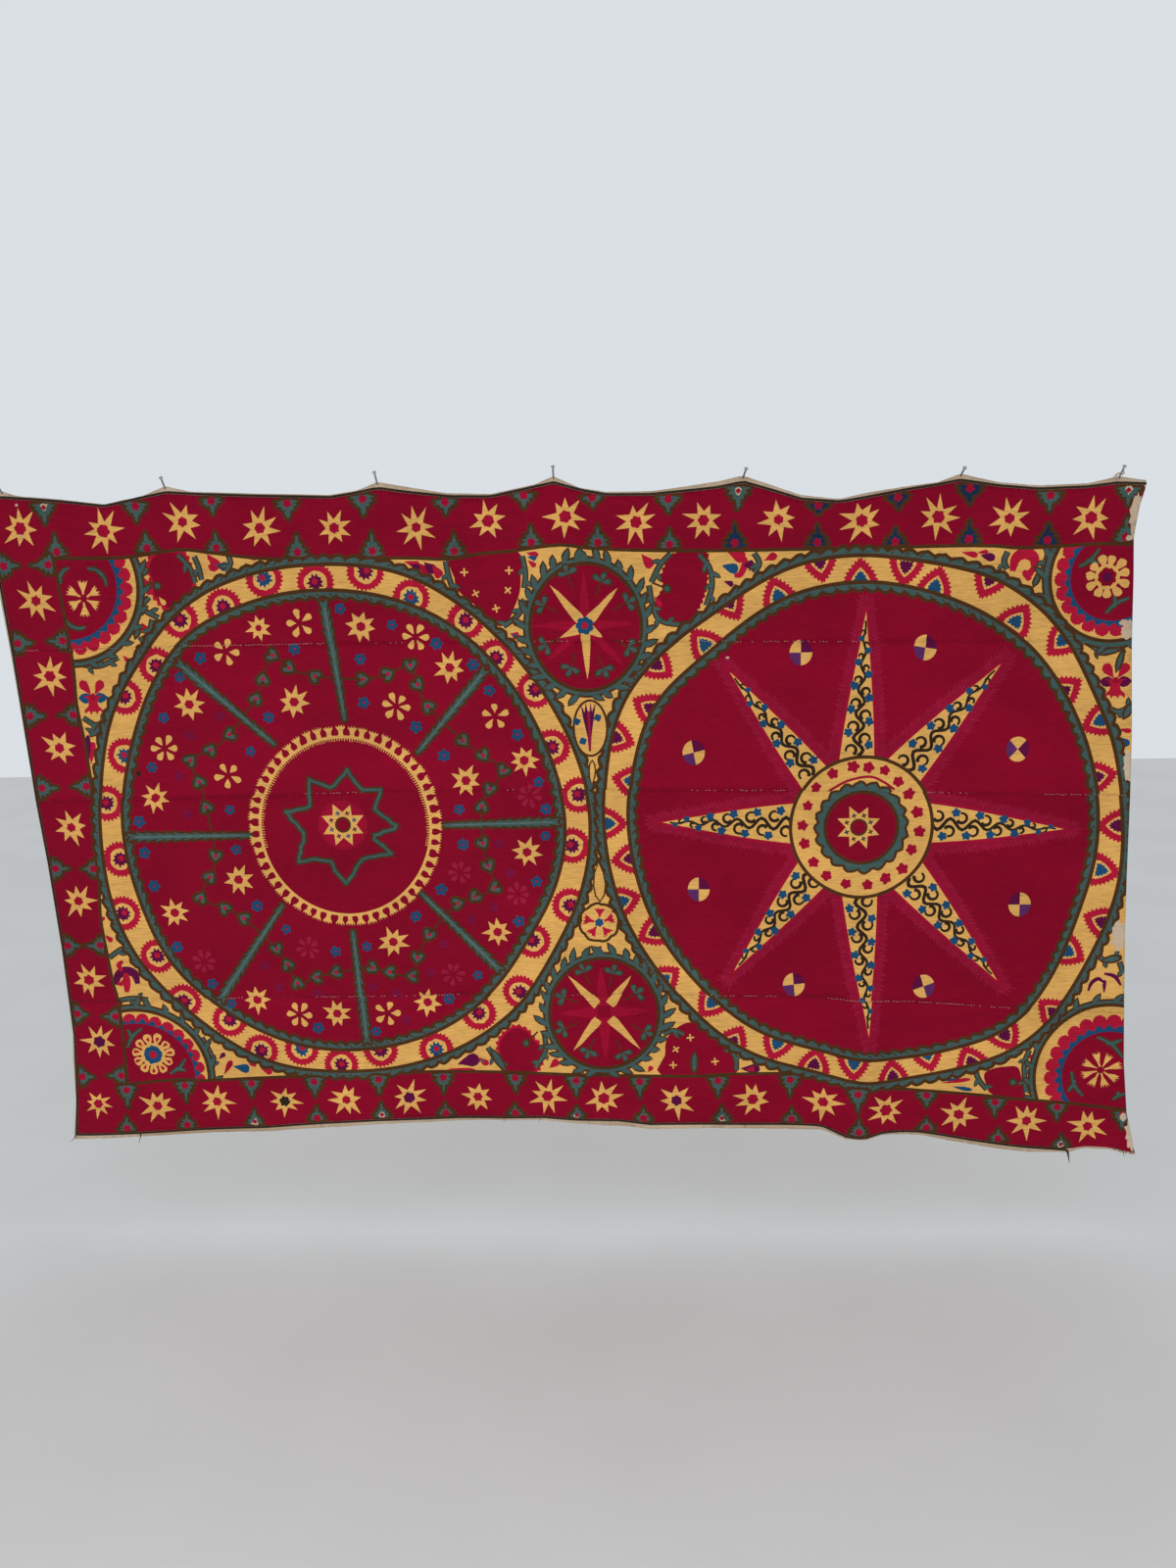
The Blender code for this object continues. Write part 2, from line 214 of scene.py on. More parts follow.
def sag(x):
    """How far the top edge bows forward between its pins, 0 at a pin and 1 halfway."""
    share = np.zeros_like(x)
    for left, right in zip(PIN_X, PIN_X[1:]):
        inside = (x >= left) & (x <= right)
        share = np.where(inside, np.sin(np.pi * (x - left) / (right - left)), share)
    return share


def lift(x, z):
    """How far points of the hung cloth stand forward of the hanging plane."""
    x = np.asarray(x, dtype=float)
    z = np.asarray(z, dtype=float)
    top = along(TOP_EDGE, x)
    bottom = along(BOTTOM_EDGE, x)
    down = np.clip((top - z) / (top - bottom), 0.0, 1.0)
    height = SAG_FORWARD * sag(x) * np.exp(-np.maximum(top - z, 0.0) / SAG_FADE)
    for x_top, x_bottom, half_width, at_top, at_bottom in FOLD_TABLE:
        middle = x_top + (x_bottom - x_top) * down
        share = np.exp(-(((x - middle) / half_width) ** 2))
        height = height + share * (at_top + (at_bottom - at_top) * down**1.5)
    return height


def unit(angle):
    return np.stack((np.cos(angle), np.sin(angle)), axis=-1)


def smooth(points, steps=5, closed=False):
    """A curve that passes smoothly through the points."""
    points = np.asarray(points, dtype=float)
    if closed:
        before, after, beyond = (np.roll(points, shift, axis=0) for shift in (1, -1, -2))
        here = points
    else:
        padded = np.vstack((2 * points[0] - points[1], points, 2 * points[-1] - points[-2]))
        before, here, after, beyond = padded[:-3], padded[1:-2], padded[2:-1], padded[3:]
    curve = []
    for a, b, c, d in zip(before, here, after, beyond):
        for step in range(steps):
            t = step / steps
            linear = 2 * b + (c - a) * t
            square = (2 * a - 5 * b + 4 * c - d) * t**2
            cube = (3 * b - a - 3 * c + d) * t**3
            curve.append(0.5 * (linear + square + cube))
    if not closed:
        curve.append(points[-1])
    return np.array(curve)


def placed(outline, centre, angle=0.0, size=1.0):
    """An outline turned, sized and moved to its place."""
    points = np.asarray(outline, dtype=float) * size
    cos, sin = math.cos(angle), math.sin(angle)
    x, z = points[:, 0], points[:, 1]
    turned = np.stack((x * cos - z * sin, x * sin + z * cos), axis=-1)
    return turned + np.asarray(centre, dtype=float)


def shaken(outline, amount=0.0006):
    """An outline with the small unevenness of a hand."""
    points = np.asarray(outline, dtype=float)
    moves = [(HAND.gauss(0.0, amount), HAND.gauss(0.0, amount)) for _ in range(len(points))]
    return points + np.array(moves)


def mirrored(half):
    """A whole outline from its right half, listed from the bottom to the tip."""
    right = [tuple(point) for point in half]
    left = [(-x, y) for x, y in reversed(right) if abs(x) > 1e-9]
    return right + left


def length_along(line):
    steps = np.linalg.norm(np.diff(line, axis=0), axis=1)
    return np.concatenate(([0.0], np.cumsum(steps)))


def evenly(line, step):
    """A polyline cut again into even steps."""
    line = np.asarray(line, dtype=float)
    length = length_along(line)
    count = max(int(round(length[-1] / step)), 2)
    marks = np.linspace(0.0, length[-1], count + 1)
    return np.stack([np.interp(marks, length, line[:, axis]) for axis in (0, 1)], axis=-1)


def sideways(line, closed=False):
    """Unit normals to the left of a polyline, lengthened a little at corners."""
    line = np.asarray(line, dtype=float)
    if closed:
        steps = np.roll(line, -1, axis=0) - line
        steps_before = np.roll(steps, 1, axis=0)
    else:
        steps = np.diff(line, axis=0)
        steps_before = np.vstack((steps[:1], steps))
        steps = np.vstack((steps, steps[-1:]))
    normals = np.stack((-steps[:, 1], steps[:, 0]), axis=-1)
    normals_before = np.stack((-steps_before[:, 1], steps_before[:, 0]), axis=-1)
    normals /= np.maximum(np.linalg.norm(normals, axis=1, keepdims=True), 1e-9)
    normals_before /= np.maximum(np.linalg.norm(normals_before, axis=1, keepdims=True), 1e-9)
    both = normals + normals_before
    size = np.maximum(np.sum(both * normals, axis=1, keepdims=True), 0.7)
    return both / size


# Drawing
def paint(colour, outline):
    """Adds one filled shape over all earlier ones."""
    points = np.asarray(outline, dtype=float)
    after = np.roll(points, -1, axis=0)
    if float(np.sum(points[:, 0] * after[:, 1] - after[:, 0] * points[:, 1])) < 0.0:
        points = points[::-1]
    SHAPES.append((colour, points))


def sharp_stroke(colour, line, width, closed=False):
    """Adds a band along a line with sharp corners, each piece a little longer than its step."""
    line = np.asarray(line, dtype=float)
    for here in range(len(line) if closed else len(line) - 1):
        start = line[here]
        end = line[(here + 1) % len(line)]
        size = float(np.linalg.norm(end - start))
        if size < 1e-6:
            continue
        along_step = (end - start) / size * width * 0.35
        across = np.array((start[1] - end[1], end[0] - start[0])) / size * width / 2
        start = start - along_step
        end = end + along_step
        paint(colour, (start + across, start - across, end - across, end + across))


def stroke(colour, line, width, closed=False):
    """Adds a band along a line, its width one number or one for each point."""
    line = np.asarray(line, dtype=float)
    half = np.broadcast_to(np.asarray(width, dtype=float) / 2, (len(line),))[:, None]
    normals = sideways(line, closed)
    left = line + normals * half
    right = line - normals * half
    for here in range(len(line) if closed else len(line) - 1):
        there = (here + 1) % len(line)
        paint(colour, (left[here], right[here], right[there], left[there]))


def edged(fill, outline, edge="brown", width=0.0040):
    """Adds a filled shape with a stitched outline."""
    paint(fill, outline)
    stroke(edge, outline, width, closed=True)


def oval(centre, rx, rz, count=32):
    angles = np.linspace(0.0, 2 * np.pi, count, endpoint=False)
    return np.asarray(centre, dtype=float) + unit(angles) * (rx, rz)


def star(colour, centre, radius, points=8, inner=0.50, uneven=0.12, turn=None):
    """A pointed star with uneven rays."""
    turn = HAND.uniform(0.0, 6.3) if turn is None else turn
    outline = []
    for index in range(points * 2):
        angle = turn + math.pi * index / points
        if index % 2 == 0:
            angle += HAND.uniform(-uneven, uneven)
            reach = radius * HAND.uniform(1.0 - 1.4 * uneven, 1.0 + 0.9 * uneven)
        else:
            reach = radius * inner * HAND.uniform(0.93, 1.07)
        outline.append(np.asarray(centre) + reach * unit(angle))
    paint(colour, outline)


def blossom(colour, centre, radius, lobes=6, depth=0.30):
    """A small lobed flower or core."""
    turn = HAND.uniform(0.0, 6.3)
    angles = np.linspace(0.0, 2 * np.pi, lobes * 5, endpoint=False)
    reach = radius * (1.0 - depth + depth * np.abs(np.cos(lobes * angles / 2)) ** 0.7)
    outline = np.asarray(centre) + reach[:, None] * unit(angles + turn)
    paint(colour, shaken(outline, radius * 0.04))


def serrated(colour, centre, radius, teeth, depth):
    """A disc with saw teeth round its edge."""
    turn = HAND.uniform(0.0, 6.3)
    outline = []
    for index in range(teeth * 2):
        reach = radius - (depth if index % 2 else HAND.uniform(0.0, depth * 0.35))
        outline.append(np.asarray(centre) + reach * unit(turn + math.pi * index / teeth))
    paint(colour, outline)


# Unit forms: across, and along from the base to the tip
PETAL = mirrored(((0.0, 0.0), (0.16, 0.22), (0.40, 0.60), (0.42, 0.82), (0.22, 0.98), (0.0, 1.0)))
FORKED_PETAL = mirrored(
    ((0.07, 0.0), (0.12, 0.30), (0.34, 0.66), (0.46, 0.98), (0.30, 0.86), (0.24, 0.80), (0.16, 1.02),
    (0.08, 0.82),
     (0.0, 0.84))
)
PALMETTE = mirrored(
    ((0.22, 0.0), (0.47, 0.06), (0.52, 0.18), (0.36, 0.24), (0.45, 0.37), (0.28, 0.43), (0.29, 0.56),
     (0.14, 0.61), (0.12, 0.78), (0.07, 0.93), (0.0, 1.0))
)
FORK = mirrored(
    ((0.50, 0.0), (0.30, 0.10), (0.21, 0.30), (0.25, 0.56), (0.46, 0.80), (0.42, 1.0), (0.31, 0.84),
    (0.21, 0.84),
     (0.15, 1.05), (0.07, 0.86), (0.0, 0.88))
)
HEART = mirrored(
    ((0.0, -0.50), (0.30, -0.24), (0.50, 0.06), (0.46, 0.34), (0.24, 0.46), (0.06, 0.34), (0.0, 0.24))
)
LEAF = mirrored(((0.0, 0.0), (0.30, 0.16), (0.44, 0.42), (0.34, 0.72), (0.0, 1.0)))


def shaped(colour, form, base, tip, width, edge=None, edge_width=0.0035, shake=0.0005):
    """A unit form stretched from a base point to a tip point."""
    base = np.asarray(base, dtype=float)
    tip = np.asarray(tip, dtype=float)
    axis = tip - base
    across = np.array((axis[1], -axis[0])) / max(float(np.linalg.norm(axis)), 1e-9)
    points = np.array([base + axis * v + across * u * width for u, v in form])
    points = shaken(points, shake)
    if edge:
        edged(colour, points, edge, edge_width)
    else:
        paint(colour, points)


def petals(colour, centre, count, inner, outer, width, form=PETAL, turn=None, uneven=0.08):
    """A ring of petals round a centre."""
    turn = HAND.uniform(0.0, 6.3) if turn is None else turn
    centre = np.asarray(centre, dtype=float)
    for index in range(count):
        ray = unit(turn + 2 * math.pi * index / count + HAND.uniform(-uneven, uneven))
        shaped(colour, form, centre + ray * inner, centre + ray * outer * HAND.uniform(0.92, 1.06), width)


def palmette(base, tip, width, fill="teal", base_core=None):
    """A three-lobed border palmette with a long point."""
    base = np.asarray(base, dtype=float)
    tip = np.asarray(tip, dtype=float)
    shaped(fill, PALMETTE, base, base + (tip - base) * 0.97, width, "brown", 0.0064, 0.0008)
    middle = base + (tip - base) * 0.22
    if base_core:
        shaped(base_core, PETAL, base + (tip - base) * 0.42, base + (tip - base) * 0.06, 0.017, shake=0.0012)
        blossom("rose", middle, 0.0055, 4, 0.40)
        return
    blossom("rose", middle, 0.0095, 5, 0.40)


def heart(centre, angle):
    """A teal heart with a small red core."""
    outline = smooth(placed(HEART, centre, angle, HEART_SIZE), 3, closed=True)
    edged("teal", outline, "brown", 0.0066)
    blossom("bright_red", centre, HEART_SIZE * 0.16, 3, 0.3)


def joined_leaves(line, width, leaves, leaf_width, outline=0.0096, closed=False):
    """A branch and its leaves as one form: the brown edge of all first, then the fill of all."""
    for root, tip in leaves:
        shaped("brown", LEAF, root, tip + (tip - root) * 0.16, leaf_width + outline * 0.75, shake=0.0004)
    stroke("brown", line, width + outline, closed)
    for root, tip in leaves:
        shaped("teal", LEAF, root, tip, leaf_width, shake=0.0004)
    stroke("teal", line, width, closed)


def leaf_ring(centre, rx, rz, leaf=0.036, pitch=0.026):
    """An oval teal branch with leaves that lean round it."""
    centre = np.asarray(centre, dtype=float)
    count = max(int(math.pi * (rx + rz) / pitch), 2)
    leaves = []
    for index in range(count):
        angle = 2 * math.pi * (index + 0.5) / count
        root = centre + unit(angle) * (rx, rz)
        lean = angle + (0.80 if math.cos(angle) > 0.0 else -0.80) + HAND.uniform(-0.25, 0.25)
        leaves.append((root, root + unit(lean) * leaf * HAND.uniform(0.70, 1.10)))
    joined_leaves(oval(centre, rx, rz, max(count * 2, 24)), 0.0090, leaves, leaf * 0.36, closed=True)


def leafy(line, width, leaf):
    """A branch with pointed leaves on alternate sides."""
    line = evenly(smooth(line, 6), LEAFY_STEP)
    normals = sideways(line)
    leaves = []
    for index in range(1, len(line) - 1):
        if index % LEAF_EVERY:
            continue
        side = -1 if (index // LEAF_EVERY) % 2 else 1
        ahead = line[min(index + 1, len(line) - 1)] - line[index]
        ahead = ahead / max(float(np.linalg.norm(ahead)), 1e-9)
        direction = ahead * 0.75 + normals[index] * side * 0.9
        root = line[index] + normals[index] * side * width * 0.15
        leaves.append((root, root + direction * leaf * HAND.uniform(0.8, 1.15)))
    joined_leaves(line, width, leaves, leaf * 0.50, 0.0068)


def sprig(base, tip, side):
    """A bent blade, with one shorter blade beside it unless the side is 0."""
    base = np.asarray(base, dtype=float)
    tip = np.asarray(tip, dtype=float)
    axis = tip - base
    across = np.array((-axis[1], axis[0])) * side
    if side:
        fork = (base + axis * 0.36, base + axis * 0.52 + across * 0.22, base + axis * 0.60 + across * 0.40)
        blades = (smooth((base, base + axis * 0.5 + across * 0.10, tip), 4), smooth(fork, 3))
    else:
        bend = np.array((-axis[1], axis[0])) * 0.20
        blades = (smooth((base, base + axis * 0.3 + bend, base + axis * 0.7 + bend, tip), 4),)
    for colour, start, end in (("brown", 0.0105, 0.0145), ("teal", 0.0042, 0.0070)):
        for blade in blades:
            marks = (0, len(blade) // 2, len(blade) - 1)
            stroke(colour, blade, np.interp(np.arange(len(blade)), marks, (start, end, start * 0.8)))


def bell_flower(centre, wings):
    """Two red lobes, two wings and a red bell below."""
    centre = np.asarray(centre, dtype=float)
    for side in (-1, 1):
        shaped("bright_red", PETAL, centre + (side * 0.004, 0.012), centre + (side * 0.024, 0.042), 0.024)
        shaped(wings, LEAF, centre + (side * 0.002, 0.004), centre + (side * 0.034, 0.006), 0.026)
    shaped("bright_red", FORK, centre + (0.0, 0.010), centre + (0.0, -0.030), 0.046)
    blossom("rose", centre + (0.0, 0.008), 0.0075, 5, 0.3)


def round_leaf(centre, root):
    """A round leaf on a stem."""
    stroke("brown", (centre, root), 0.0042)
    edged("teal", oval(centre, 0.008, 0.008, 12), "brown", 0.0042)


def quartered(centre, rx, rz, turn=0.0):
    """An oval in four quarters of two colours."""
    for quarter, colour in enumerate(("plum", "yellow", "purple", "yellow")):
        angles = turn + np.linspace(quarter, quarter + 1, 6) * math.pi / 2
        paint(colour, np.vstack((np.asarray(centre), np.asarray(centre) + unit(angles) * (rx, rz))))


def cross(colour, centre, size, width, turn):
    """Two short bars across one another."""
    for angle in (turn, turn + math.pi / 2):
        ray = unit(angle) * size
        stroke(colour, (np.asarray(centre) - ray, np.asarray(centre) + ray), width)


# Rings
def ring(centre, table):
    """A closed smooth line round a centre through the points of a table."""
    offsets = np.array(table, dtype=float) - np.asarray(centre)
    angles = np.arctan2(offsets[:, 1], offsets[:, 0])
    reach = np.hypot(offsets[:, 0], offsets[:, 1])
    order = np.argsort(angles)
    angles, reach = angles[order], reach[order]
    wrapped = np.concatenate((angles - 2 * np.pi, angles, angles + 2 * np.pi))
    at = np.linspace(-np.pi, np.pi, RING_POINTS, endpoint=False)
    radii = np.interp(at, wrapped, np.tile(reach, 3))
    window = RING_POINTS // 45
    padded = np.concatenate((radii[-window:], radii, radii[:window]))
    radii = np.convolve(padded, np.ones(2 * window + 1) / (2 * window + 1), mode="valid")
    return np.asarray(centre) + radii[:, None] * unit(at)


def scalloped(line, centre, depth, pitch):
    """A closed line moved outward, or inward where depth is below zero, with leaf-shaped scallops."""
    line = evenly(np.vstack((line, line[:1])), pitch / 6)[:-1]
    length = length_along(np.vstack((line, line[:1])))[:-1]
    sway = 0.25 * np.sin(length * 9.0) + 0.15 * np.sin(length * 23.0 + 1.0)
    phase = (length / pitch + sway) % 1.0
    bump = 0.60 + 0.40 * np.minimum(phase * 2.6, 1.0) * np.sqrt(np.maximum(1.0 - phase, 0.0)) * 1.5
    rays = line - np.asarray(centre)
    rays /= np.linalg.norm(rays, axis=1, keepdims=True)
    return shaken(line + rays * (depth * np.minimum(bump, 1.05))[:, None], 0.0004)


def leaf_ticks(line, centre, depth, pitch):
    """Short dark stitches that part the leaves of a scalloped band."""
    line = evenly(np.vstack((line, line[:1])), pitch)[:-1]
    rays = line - np.asarray(centre)
    rays /= np.linalg.norm(rays, axis=1, keepdims=True)
    turned = np.stack((-rays[:, 1], rays[:, 0]), axis=-1)
    for place, ray, side in zip(line, rays, turned):
        start = place + ray * depth * 0.70
        end = place + ray * depth * 0.34 + side * abs(depth) * 0.40
        stroke("brown", (start, end), 0.0026)


def held_between(outline, centre, outer, inner):
    """An outline whose points beyond the outer ring or within the inner ring are brought onto it."""
    centre = np.asarray(centre, dtype=float)
    offsets = np.asarray(outline, dtype=float) - centre
    angles = np.arctan2(offsets[:, 1], offsets[:, 0])
    reach = np.hypot(offsets[:, 0], offsets[:, 1])
    limits = []
    for line in (inner, outer):
        rays = line - centre
        turns = np.arctan2(rays[:, 1], rays[:, 0])
        order = np.argsort(turns)
        far = np.hypot(rays[:, 0], rays[:, 1])[order]
        limits.append(np.interp(angles, turns[order], far, period=2 * np.pi))
    reach = np.clip(reach, limits[0], limits[1])
    return centre + reach[:, None] * unit(angles)


def limit_since(start, centre, outer, inner):
    """Holds every shape drawn since a place in the list between two rings."""
    for index in range(start, len(SHAPES)):
        colour, outline = SHAPES[index]
        SHAPES[index] = (colour, held_between(outline, centre, outer, inner))


def big_rings(centre, outer_table, inner_table, draw_band):
    """A medallion's yellow band between two scalloped rings, and the field inside."""
    outer = ring(centre, outer_table)
    inner = ring(centre, inner_table)
    rim = scalloped(outer, centre, SCALLOP_DEPTH, OUTER_PITCH)
    edged("teal", rim, "brown", RIM_LINE)
    leaf_ticks(outer, centre, SCALLOP_DEPTH, OUTER_PITCH)
    paint("yellow", outer)
    start = len(SHAPES)
    draw_band()
    limit_since(start, centre, outer, inner)
    stroke("brown", outer, RING_LINE, closed=True)
    paint("teal", inner)
    leaf_ticks(inner, centre, -SCALLOP_DEPTH, INNER_PITCH)
    field = scalloped(inner, centre, -SCALLOP_DEPTH, INNER_PITCH)
    paint("crimson", field)
    stroke("brown", field, FIELD_LINE, closed=True)
    stroke("brown", inner, RING_LINE, closed=True)


# Left medallion
LEFT_CENTRE = (-0.512, 0.776)
LEFT_OUTER = (
    (-0.945, 1.135), (-0.86, 1.24), (-0.81, 1.28), (-0.76, 1.3025), (-0.51, 1.343), (-0.36, 1.325),
    (-0.26, 1.27),
    (-0.13, 1.15), (-0.07, 1.07), (-0.02, 0.98), (0.025, 0.84), (0.0325, 0.75), (0.0225, 0.69),
    (-0.005, 0.585),
    (-0.06, 0.49), (-0.115, 0.39), (-0.26, 0.27), (-0.36, 0.231), (-0.55, 0.209), (-0.71, 0.2225),
    (-0.91, 0.37),
    (-0.965, 0.43), (-1.02, 0.515), (-1.0475, 0.605), (-1.0575, 0.76), (-1.045, 0.90), (-1.0275, 0.985),
    (-1.00, 1.06),
)
LEFT_INNER = (
    (-0.91, 1.105), (-0.84, 1.20), (-0.76, 1.24), (-0.51, 1.29), (-0.26, 1.215), (-0.185, 1.145),
    (-0.12, 1.06),
    (-0.06, 0.935), (-0.0225, 0.76), (-0.06, 0.61), (-0.115, 0.52), (-0.195, 0.40), (-0.30, 0.315),
    (-0.49, 0.261), (-0.66, 0.2725), (-0.845, 0.38), (-0.93, 0.475), (-0.98, 0.61), (-1.0075, 0.765),
    (-0.9725, 0.96),
)
# Roundels of the band: x, z, colour of the core
LEFT_ROUNDELS = (
    (-0.6525, 1.3175, "blue"), (-0.435, 1.3275, "plum"), (-0.98, 1.0725, "plum"), (-1.04, 0.8375, "plum"),
    (-1.025, 0.585, "plum"), (-0.905, 0.3775, "plum"), (-0.7375, 0.255, "plum"), (-0.5525, 0.2225, "plum"),
    (-0.3325, 0.2575, "blue"), (-0.135, 0.3925, "plum"), (-0.0175, 0.5925, "plum"), (0.0075, 0.84, "plum"),
    (-0.0825, 1.07, "plum"), (-0.225, 1.22, "plum"), (-0.5425, 1.3075, "plum"), (-0.34, 1.27, "blue"),
    (-0.745, 1.26, "plum"), (-0.8425, 1.235, "plum"), (-0.9025, 1.1375, "plum"), (-0.99, 0.9425, "blue"),
    (-1.02, 0.71, "plum"), (-0.955, 0.485, "plum"), (-0.805, 0.33, "plum"), (-0.6425, 0.26, "blue"),
    (-0.46, 0.2575, "plum"), (-0.2325, 0.3425, "plum"), (-0.1025, 0.5125, "plum"), (-0.01, 0.7275, "plum"),
    (-0.05, 0.945, "plum"), (-0.165, 1.14, "plum"),
)
# Spears: x and z of the outer end, x and z of the tip
SPEARS = (
    (-0.528, 1.265, -0.498, 1.01), (-0.855, 1.1425, -0.655, 0.96), (-0.995, 0.76, -0.72, 0.76),
    (-0.82, 0.38, -0.66, 0.6025), (-0.49, 0.2775, -0.506, 0.54), (-0.18, 0.445, -0.35, 0.625),
    (-0.04, 0.781, -0.2925, 0.776), (-0.19, 1.1125, -0.345, 0.936),
)
# Hearts in runs between the spears: x, z
HEART_RUNS = (
    ((-0.454, 1.10), (-0.399, 1.11), (-0.35, 1.1275), (-0.336, 1.086), (-0.316, 1.0385)),
    ((-0.2425, 0.9625), (-0.20, 0.93), (-0.1575, 0.896), (-0.1875, 0.855), (-0.205, 0.8175)),
    ((-0.206, 0.735), (-0.196, 0.684), (-0.1835, 0.634), (-0.2285, 0.614), (-0.2675, 0.599)),
    ((-0.335, 0.5275), (-0.3635, 0.475), (-0.3775, 0.4325), (-0.4275, 0.4425), (-0.466, 0.4525)),
    ((-0.55, 0.4425), (-0.596, 0.431), (-0.64, 0.4175), (-0.66, 0.461), (-0.6825, 0.4975)),
    ((-0.7525, 0.57), (-0.794, 0.594), (-0.846, 0.619), (-0.8215, 0.666), (-0.805, 0.714)),
    ((-0.8175, 0.825), (-0.831, 0.8825), (-0.846, 0.93), (-0.80, 0.9525), (-0.755, 0.985)),
    ((-0.691, 1.0625), (-0.6725, 1.105), (-0.6475, 1.155), (-0.6135, 1.1275), (-0.5585, 1.109)),
)
# Yellow stars of the field: x, z, radius
FIELD_STARS = (
    (-0.6725, 1.214, 0.030), (-0.451, 1.2125, 0.036), (-0.8385, 1.0525, 0.036), (-0.6075, 1.0535, 0.036),
    (-0.93, 0.8475, 0.034), (-0.265, 1.121, 0.036), (-0.24, 0.875, 0.036), (-0.111, 0.9175, 0.034),
    (-0.7575, 0.659, 0.036), (-0.9075, 0.585, 0.034), (-0.416, 0.5125, 0.036), (-0.109, 0.714, 0.034),
    (-0.181, 0.5325, 0.034), (-0.7375, 0.3775, 0.034), (-0.555, 0.345, 0.034), (-0.3475, 0.37, 0.034),
)
# Flowers of the field: x, z
YELLOW_FLOWERS = (
    (-0.5825, 1.2225), (-0.335, 1.1875), (-0.75, 1.165), (-0.385, 1.04), (-0.765, 0.895), (-0.901, 0.9575),
    (-0.171, 1.014), (-0.6425, 0.3425), (-0.44, 0.345),
)
PINK_FLOWERS = ((-0.61, 0.50), (-0.26, 0.67), (-0.285, 0.435), (-0.1325, 0.62), (-0.85, 0.47), (-0.10, 0.84))
BLUE_FLOWERS = (
    (-0.4935, 1.251), (-0.384, 1.214), (-0.599, 1.1675), (-0.4575, 1.1425), (-0.291, 1.1725),
    (-0.806, 1.1525),
    (-0.855, 1.1125), (-0.8975, 1.025), (-0.9325, 0.916), (-0.97, 0.795), (-0.765, 0.8175), (-0.455, 1.049),
    (-0.666, 1.021), (-0.711, 0.9475), (-0.344, 0.994), (-0.286, 0.931), (-0.256, 0.811), (-0.214, 1.126),
    (-0.1815, 1.07), (-0.124, 0.974), (-0.081, 0.87), (-0.065, 0.81), (-0.0675, 0.75), (-0.25, 0.7325),
    (-0.964, 0.724), (-0.949, 0.6475), (-0.7575, 0.7275), (-0.9085, 0.505), (-0.835, 0.4175), (-0.72, 0.5975),
    (-0.6575, 0.5435), (-0.5475, 0.491), (-0.476, 0.5025), (-0.3625, 0.57), (-0.3025, 0.631), (-0.09, 0.6475),
    (-0.1325, 0.5575), (-0.229, 0.4325), (-0.299, 0.3775), (-0.7975, 0.37), (-0.601, 0.311),
    (-0.4675, 0.3025),
)
PLUM_FLOWERS = (
    (-0.7725, 1.025), (-0.8425, 0.985), (-0.875, 0.895), (-0.86, 0.81), (-0.3025, 0.505), (-0.335, 0.4375),
    (-0.4675, 0.4075), (-0.4125, 0.3925), (-0.595, 0.3925), (-0.6825, 0.4075), (-0.7125, 0.4575),
    (-0.17, 0.735), (-0.1475, 0.6675), (-0.1875, 0.59), (-0.2375, 0.5625), (-0.3975, 0.33),
)
# The zigzag round the middle star: tips and valleys in order
ZIGZAG = (
    (-0.50, 0.904), (-0.4725, 0.858), (-0.426, 0.858), (-0.44, 0.812), (-0.3925, 0.775), (-0.45, 0.753),
    (-0.41, 0.715), (-0.475, 0.705), (-0.515, 0.6425), (-0.55, 0.703), (-0.62, 0.70), (-0.60, 0.76),
    (-0.64, 0.8125), (-0.585, 0.82), (-0.5875, 0.8825), (-0.535, 0.862),
)


def roundel(centre, core):
    """A red serrated roundel with a yellow ring and a lobed core."""
    serrated("bright_red", centre, 0.0435, 27, 0.0068)
    paint("yellow", shaken(oval(centre, 0.0245, 0.0245, 22), 0.0008))
    star(core, centre, 0.0195, 10, 0.66, 0.10)
    blossom("bright_red", np.asarray(centre) + (HAND.uniform(-0.004, 0.004), 0.002), 0.0075, 4, 0.4)


def left_band():
    """The roundels of the left medallion's yellow band."""
    for x, z, core in LEFT_ROUNDELS:
        roundel((x, z), core)


def spear(outer, tip):
    """A barbed branch that narrows to its tip."""
    outer = np.asarray(outer, dtype=float)
    tip = np.asarray(tip, dtype=float)
    length = float(np.linalg.norm(tip - outer))
    axis = (tip - outer) / length
    across = np.array((-axis[1], axis[0]))
    sides = ([], [])
    barbs = int(length / 0.020)
    for index in range(barbs + 1):
        share = index / barbs
        half = 0.0065 * (1.0 - 0.60 * share) * min(1.0, 0.5 + share * 4.0)
        for points, side in zip(sides, (1, -1)):
            root = outer + axis * length * share
            points.append(root + across * side * half * 0.75)
            points.append(root - axis * 0.006 + across * side * (half + 0.0052 * (1.0 - 0.4 * share)))
    line = shaken(sides[0] + [tip] + sides[1][::-1], 0.0005)
    sharp_stroke("brown", line, 0.0092, closed=True)
    paint("teal", line)
    ridge = [outer + axis * length * share for share in np.linspace(0.04, 0.92, 8)]
    stroke("pale_teal", ridge, np.linspace(0.0030, 0.0016, 8))


def comb_ring(centre, rx, rz):
    """A ring of small arches, a fork on each."""
    count = 52
    centre = np.asarray(centre, dtype=float)
    stroke("yellow", oval(centre, rx, rz, 104), 0.0060, closed=True)
    for index in range(count):
        angle = 2 * math.pi * (index + HAND.uniform(-0.08, 0.08)) / count
        ray = unit(angle)
        root = centre + ray * (rx, rz)
        shaped("yellow", FORK, root, root + ray * HAND.uniform(0.0235, 0.0275), 0.0215, shake=0.0004)
    for index in range(count * 4):
        angle = math.pi * (index + 0.5) / count / 2
        if math.sin(angle) > -0.25:
            ray = unit(angle)
            root = centre + ray * (rx, rz)
            stroke("yellow", (root, root - ray * HAND.uniform(0.0075, 0.0105)), (0.0028, 0.0016))


